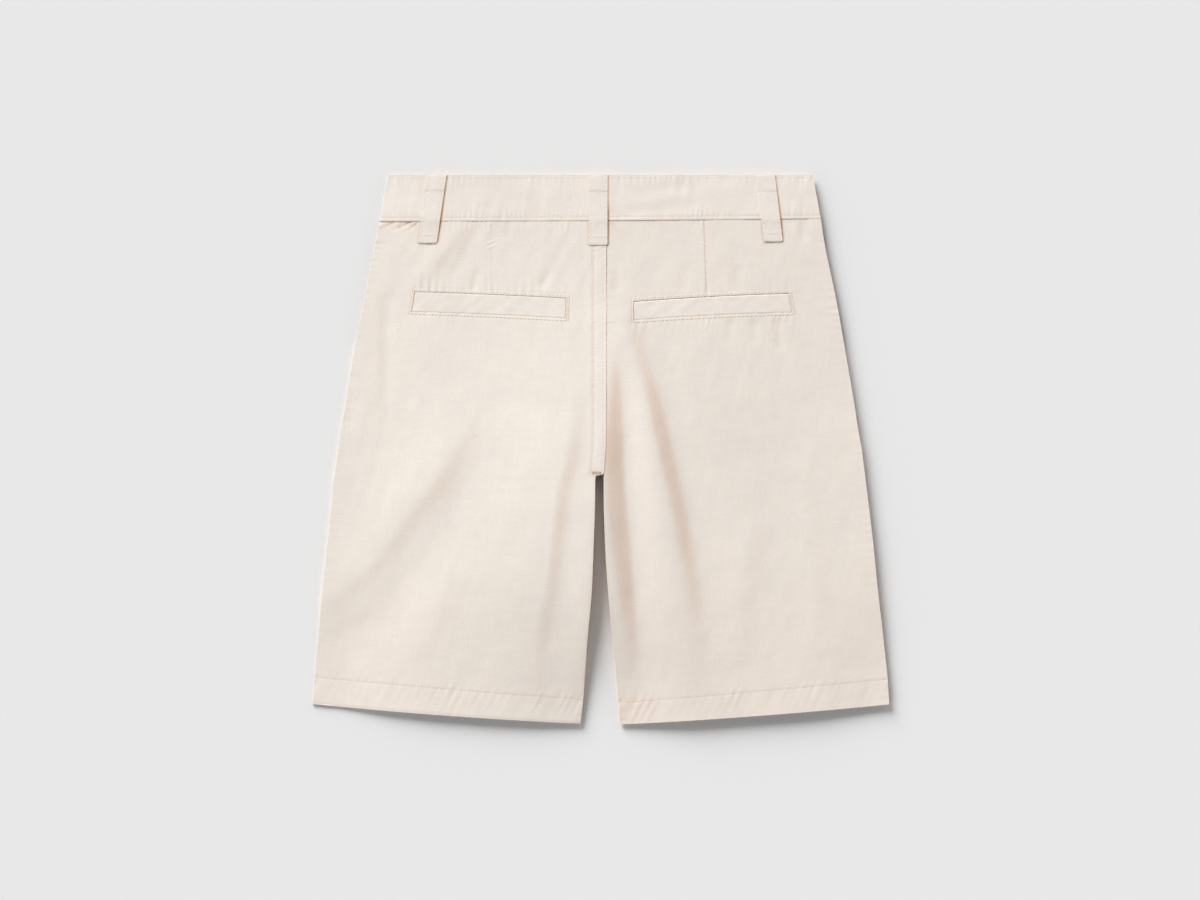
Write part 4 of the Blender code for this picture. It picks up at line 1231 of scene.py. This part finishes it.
def make_loop(loop, under, outward, thread):
    def surface(down, across, depth=0.0):
        return loop_surface(loop, down, across, under, outward, depth)

    down = stations(0.0, loop.length, 0.9, 0.35, [LOOP_FOLDS[0], loop.length - LOOP_FOLDS[1]])
    across = stations(-loop.half, loop.half, 0.6, 0.3)
    down, across = np.meshgrid(down, across, indexing="ij")
    inset = loop.half - abs(across)
    low = ramp(down, 0.62 * loop.length, 0.72 * loop.length)
    # painted shade on the loop: along its ends, sides, rows and tacks, most on its right side where it stands
    # off the band
    line = line_shade("loop end", np.minimum(down, loop.length - down))
    line += line_shade("loop side", inset) * mix(0.3, 1.0, low) + line_shade("loop row", inset)
    line += line_shade("loop's right side", loop.half - across) * loop.slack(down, 0.3)
    for tack in loop.tacks:
        line += line_shade("loop tack", down - tack)
    name = loop.node.replace("belt_", "")
    inner = surface(down, across, 1.0)
    piece = shell(name, surface(down, across), inner, trim_cloth, {"line": line}, -outward)
    finish_cloth(piece, loop.node)

    run = np.linspace(1.0, loop.length - 1.0, 60)
    for side in (-1.0, 1.0):
        path = surface(run, side * (loop.half - LOOP_ROW))
        thread.row(path, sink=0.05 * outward, seed=int(loop.width * 10 + side))
    for tack in loop.tacks:
        ends = surface(tack, np.array([-0.42, 0.42]) * loop.width)
        along = surface(np.array([tack - 1.0, tack + 1.0]), 0.0)
        thread.bartack(ends[0], ends[1], along[1] - along[0], width=1.3, radius=0.23, sink=0.1 * outward)


# ---------------------------------------------------------------- pocket welts
def make_welt(panel):
    """The welt: a folded strip set into the pocket's window, slightly below the panel."""
    top = panel.at["pocket top"] + WELT_DOWN[0]
    bottom = panel.at["pocket bottom"] + WELT_DOWN[1]
    down = stations(top, bottom, 1.0, 0.3)
    share = stations(panel.window[0] + 0.0008, panel.window[1] - 0.0008, 0.0085, 0.002)
    down, share = np.meshgrid(down, share, indexing="ij")
    t = panel.level_at(down)
    s = panel.share_to_s(share, t)
    x, y, _ = panel.place(t, s)
    from_mouth = down - top
    from_foot = panel.at["pocket bottom"] - down
    first = s - panel.share_to_s(panel.window[0], t)
    last = panel.share_to_s(panel.window[1], t) - s
    drop = panel.own["welt drop"]
    height = panel.base(x, y) + fold_height(x, y, BACK_FOLDS)
    height += unevenness(x, y, CLOTH_UNEVENNESS, panel.seed) + 0.03
    height += 0.025 * puckers(s + panel.pick(-1.3, 1.3) * from_mouth, 14.0, panel.seed + 90)
    height += 0.05 * noise_field(x, y, 4.0, panel.seed + 91) + drags("welt", x, y, panel.seed)
    height += groove("welt foot", from_foot) + drop * groove("welt mouth", from_mouth)
    height += groove("welt end", first) + groove("welt end", last)
    outer = np.stack([x, y, height], -1)
    # painted shade in the welt's mouth, along its foot and at its ends
    line = (0.2 + drop) * line_shade("welt mouth", from_mouth) + line_shade("welt foot", from_foot)
    line += line_shade("welt end", np.minimum(first, last))
    inner = outer - np.array([0.0, 0.0, WELT_CLOTH])
    piece = shell("welt_" + panel.side, outer, inner, trim_cloth, {"line": line}, panel.pick(-1, 1))
    finish_cloth(piece, "pocket_welt_" + panel.side)


# ---------------------------------------------------------------- stitches on the panels
def stitch_hem(panel, thread):
    t = LEVEL["hem seam"]
    path = panel.surface(t, np.linspace(1.2, float(panel.width(t)) - 1.2, 300))
    thread.row(path, sink=0.06 * panel.outward, length=2.2, radius=0.21, seed=3)


def stitch_pocket(panel, thread):
    """Rows of stitches around the window, close to its edges, with a bar at each end."""
    first, last = panel.window
    top = panel.at["pocket top"] - POCKET_ROW
    bottom = panel.at["pocket bottom"] + POCKET_ROW
    for down in (top, bottom):
        t = panel.level_at(down)
        s = np.linspace(panel.share_to_s(first, t) - 1.0, panel.share_to_s(last, t) + 1.0, 160)
        thread.row(panel.surface(t, s), sink=0.06, seed=int(down))
    t = panel.level_at(np.linspace(top, bottom, 40))
    for share, step in ((first, -0.7), (first, -2.2), (last, 0.7), (last, 2.2)):
        path = panel.surface(t, panel.share_to_s(share, t) + step)
        thread.row(path, sink=0.03, pitch=1.5, length=1.7, radius=0.27, seed=int(100 * share + step))


def stitch_fork(panel):
    """The bar tack across the lap at the fork."""
    thread = Thread()
    ends = panel.surface(LEVEL["crotch"] - 0.12, np.array([2.0, 8.4]))
    thread.bartack(ends[0], ends[1], (0.25, 1.0, 0.0), width=2.6, radius=0.24)
    thread.finish("bartack_fork", brown_thread)


def stitch_seat(panel):
    """Two rows along the seat seam's lap."""
    thread = Thread()
    t = np.linspace(0.12, LEVEL["crotch"] - 0.35, 400)
    for s in SEAT_ROWS:
        thread.row(panel.surface(t, s), sink=0.04, pitch=SEAT_STITCH_PITCH, length=1.8, seed=int(s * 7))
    thread.finish("stitches_seat", pale_thread)


def stitch_fly(panel, thread):
    """The fly's curved row on the wearer's left front, and its bar at the foot."""
    down = np.linspace(2.0, 92.0, 200)
    curve = 34.0 - 30.0 * ramp(down, 52.0, 92.0) ** 1.6
    thread.row(panel.surface(panel.level_at(down), curve), sink=-0.06, seed=11)
    path = panel.surface(panel.level_at(np.array([86.0, 93.0])), 4.0)
    thread.bartack(path[0], path[1], (1.0, 0.0, 0.0), sink=-0.1)


# ---------------------------------------------------------------- build
def build_backs():
    for side, seed in (("left", 100), ("right", 200)):
        panel = Panel(side, 1, seed)
        piece = panel.make("back_" + side, PANEL_CLOTH[side], 1.7, 0.55)
        finish_cloth(piece, "back_panel_" + side)
        thread = Thread()
        stitch_hem(panel, thread)
        if side == "left":
            stitch_fork(panel)
        make_welt(panel)
        stitch_pocket(panel, thread)
        thread.finish("stitches_back_" + side, tan_thread)
        if side == "left":
            stitch_seat(panel)


def build_fronts():
    for side, seed in (("left", 300), ("right", 400)):
        panel = Panel(side, -1, seed)
        piece = panel.make("front_" + side, PANEL_CLOTH[side], 2.6, 1.0)
        finish_cloth(piece, "front_panel_" + side)
        thread = Thread()
        stitch_hem(panel, thread)
        if side == "left":
            stitch_fly(panel, thread)
        thread.finish("stitches_front_" + side, tan_thread)


def build_bands():
    back = Waistband(1, back_band_base, 500, sag=0.5)
    piece = back.make("band_back", 0.8, 0.35)
    finish_cloth(piece, "waistband_back")
    thread = Thread()
    back.stitch(thread)
    thread.finish("stitches_band_back", pale_thread)
    # the label sewn inside shows through as one short row of stitches
    thread = Thread()
    label = back.surface(np.linspace(14.0, 28.0, 12), (LABEL_X - back.bottom[0][0]) / back.length)
    thread.row(label, sink=0.03, pitch=2.2, length=1.3, radius=0.2, seed=31)
    thread.finish("stitches_label", tan_thread)

    left = Waistband(-1, left_band_base, 520, (None, BUTTONHOLE_END_X))
    right = Waistband(-1, right_band_base, 540, (BUTTON_END_X, None))
    for band, side, rests_on in ((left, "left", "waistband_front_right"), (right, "right", "waistband_back")):
        piece = band.make("band_front_" + side, 2.0, 0.8)
        finish_cloth(piece, "waistband_front_" + side)
    for band, side in ((left, "left"), (right, "right")):
        thread = Thread()
        band.stitch(thread)
        thread.finish("stitches_band_front_" + side, tan_thread)


def back_loop_under(x, y):
    """What a back loop lies on: the waistband, then the panel below it."""
    on_band = ramp(y, WAIST_Y - 3.0, WAIST_Y + 1.0)
    return mix(BACK_HEIGHT + 0.1 + over_front(x, y), back_band_base(x, y), on_band)


def front_loop_under(x, y):
    """Front loops hang 0.05 mm clear of the front, down to the floor."""
    return np.full_like(x, 1.95)


def build_loops():
    thread = Thread()
    for loop in BACK_LOOPS:
        make_loop(loop, back_loop_under, 1, thread)
    thread.finish("stitches_back_loops", pale_thread)
    thread = Thread()
    for loop in FRONT_LOOPS:
        make_loop(loop, front_loop_under, -1, thread)
    thread.finish("stitches_front_loops", pale_thread)


def dress_button():
    """The button keeps its solid's shape, gets its resin and its sewing thread."""
    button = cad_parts["waist_button"]
    button.data.materials.clear()
    button.data.materials.append(button_resin)
    thread = Thread()
    x, y = BUTTON_CENTRE
    for offset in (-1.3, 1.3):
        for step in (-0.25, 0.0, 0.25):
            thread.add(np.array([x, y + offset + step, 0.42]), (1.0, 0.05 * step, 0.0), 3.4, 0.2)
    thread.finish("button_thread", tan_thread)


# ---------------------------------------------------------------- floor, light and camera, metres
FLOOR_HALF = 8.0
CAMERA_LENS = 85.0        # mm, as is the sensor
CAMERA_SENSOR = 36.0
FRAME_WIDTH = 0.8760      # width of the view at the cloth
CAMERA_CENTRE = (-0.0004, -0.0004)
CLOTH_TOP = 0.0052
WORLD_STRENGTH = 0.877
SKY_SIDE = 0.30           # the sky is this much brighter on the key light's side
KEY_AZIMUTH = 121.0       # where the key light comes from: 0 is +X, 90 is +Y
KEY_ELEVATION = 23.0
KEY_WIDTH = 32.0          # degrees that the lamp takes up, seen from the cloth
KEY_STRENGTH = 4.35


def make_floor():
    half = FLOOR_HALF / MM
    corners = [(-half, -half, 0), (half, -half, 0), (half, half, 0), (-half, half, 0)]
    material, tree, shader = new_material("floor_paper")
    set_inputs(tree, shader, {
        "Base Color": opaque(FLOOR_COLOUR),
        "Roughness": 0.95,
        "Specular IOR Level": 0.0,
    })
    make_mesh("floor", corners, [(0, 1, 2, 3)], material, False)


def make_key(azimuth, elevation):
    light = bpy.data.lights.new("key", "SUN")
    light.energy = KEY_STRENGTH
    light.angle = math.radians(KEY_WIDTH)
    lamp = bpy.data.objects.new("key", light)
    bpy.context.scene.collection.objects.link(lamp)
    level = math.cos(elevation)
    towards = Vector((level * math.cos(azimuth), level * math.sin(azimuth), math.sin(elevation)))
    lamp.rotation_euler = towards.to_track_quat("Z", "Y").to_euler()


def make_sky(azimuth):
    """A white dome, brighter low down and on the key light's side."""
    world = bpy.data.worlds.new("studio")
    bpy.context.scene.world = world
    world.use_nodes = True
    tree = world.node_tree
    sky = add_node(tree, "ShaderNodeTexCoord", (-900, 0)).outputs["Generated"]
    parts = add_node(tree, "ShaderNodeSeparateXYZ", (-700, 0), {"Vector": sky})
    fall_off = add_node(
        tree, "ShaderNodeMapRange", (-500, 0),
        {"Value": parts.outputs["Z"], "From Min": 0.35, "From Max": 0.85, "To Min": 1.3, "To Max": 0.08},
        interpolation_type="SMOOTHSTEP")
    turn = (SKY_SIDE * math.cos(azimuth), SKY_SIDE * math.sin(azimuth), 0.0)
    side = add_node(tree, "ShaderNodeVectorMath", (-700, -250), {0: sky, 1: turn}, operation="DOT_PRODUCT")
    lean = calculate(tree, "ADD", (-500, -250), side.outputs["Value"], 1.0)
    both = calculate(tree, "MULTIPLY", (-300, 0), fall_off.outputs["Result"], lean)
    set_inputs(tree, tree.nodes["Background"], {"Color": both, "Strength": WORLD_STRENGTH})


def make_camera():
    camera = bpy.data.cameras.new("camera")
    camera.lens = CAMERA_LENS
    camera.sensor_width = CAMERA_SENSOR
    rig = bpy.data.objects.new("camera", camera)
    bpy.context.scene.collection.objects.link(rig)
    distance = FRAME_WIDTH * CAMERA_LENS / CAMERA_SENSOR
    rig.location = (*CAMERA_CENTRE, CLOTH_TOP + distance)
    rig.rotation_euler = (0.0, 0.0, 0.0)
    bpy.context.scene.camera = rig


def main():
    build_backs()
    build_fronts()
    build_bands()
    build_loops()
    dress_button()
    make_floor()
    make_sky(math.radians(KEY_AZIMUTH))
    make_key(math.radians(KEY_AZIMUTH), math.radians(KEY_ELEVATION))
    make_camera()
    bpy.context.scene.view_settings.view_transform = "Standard"


main()
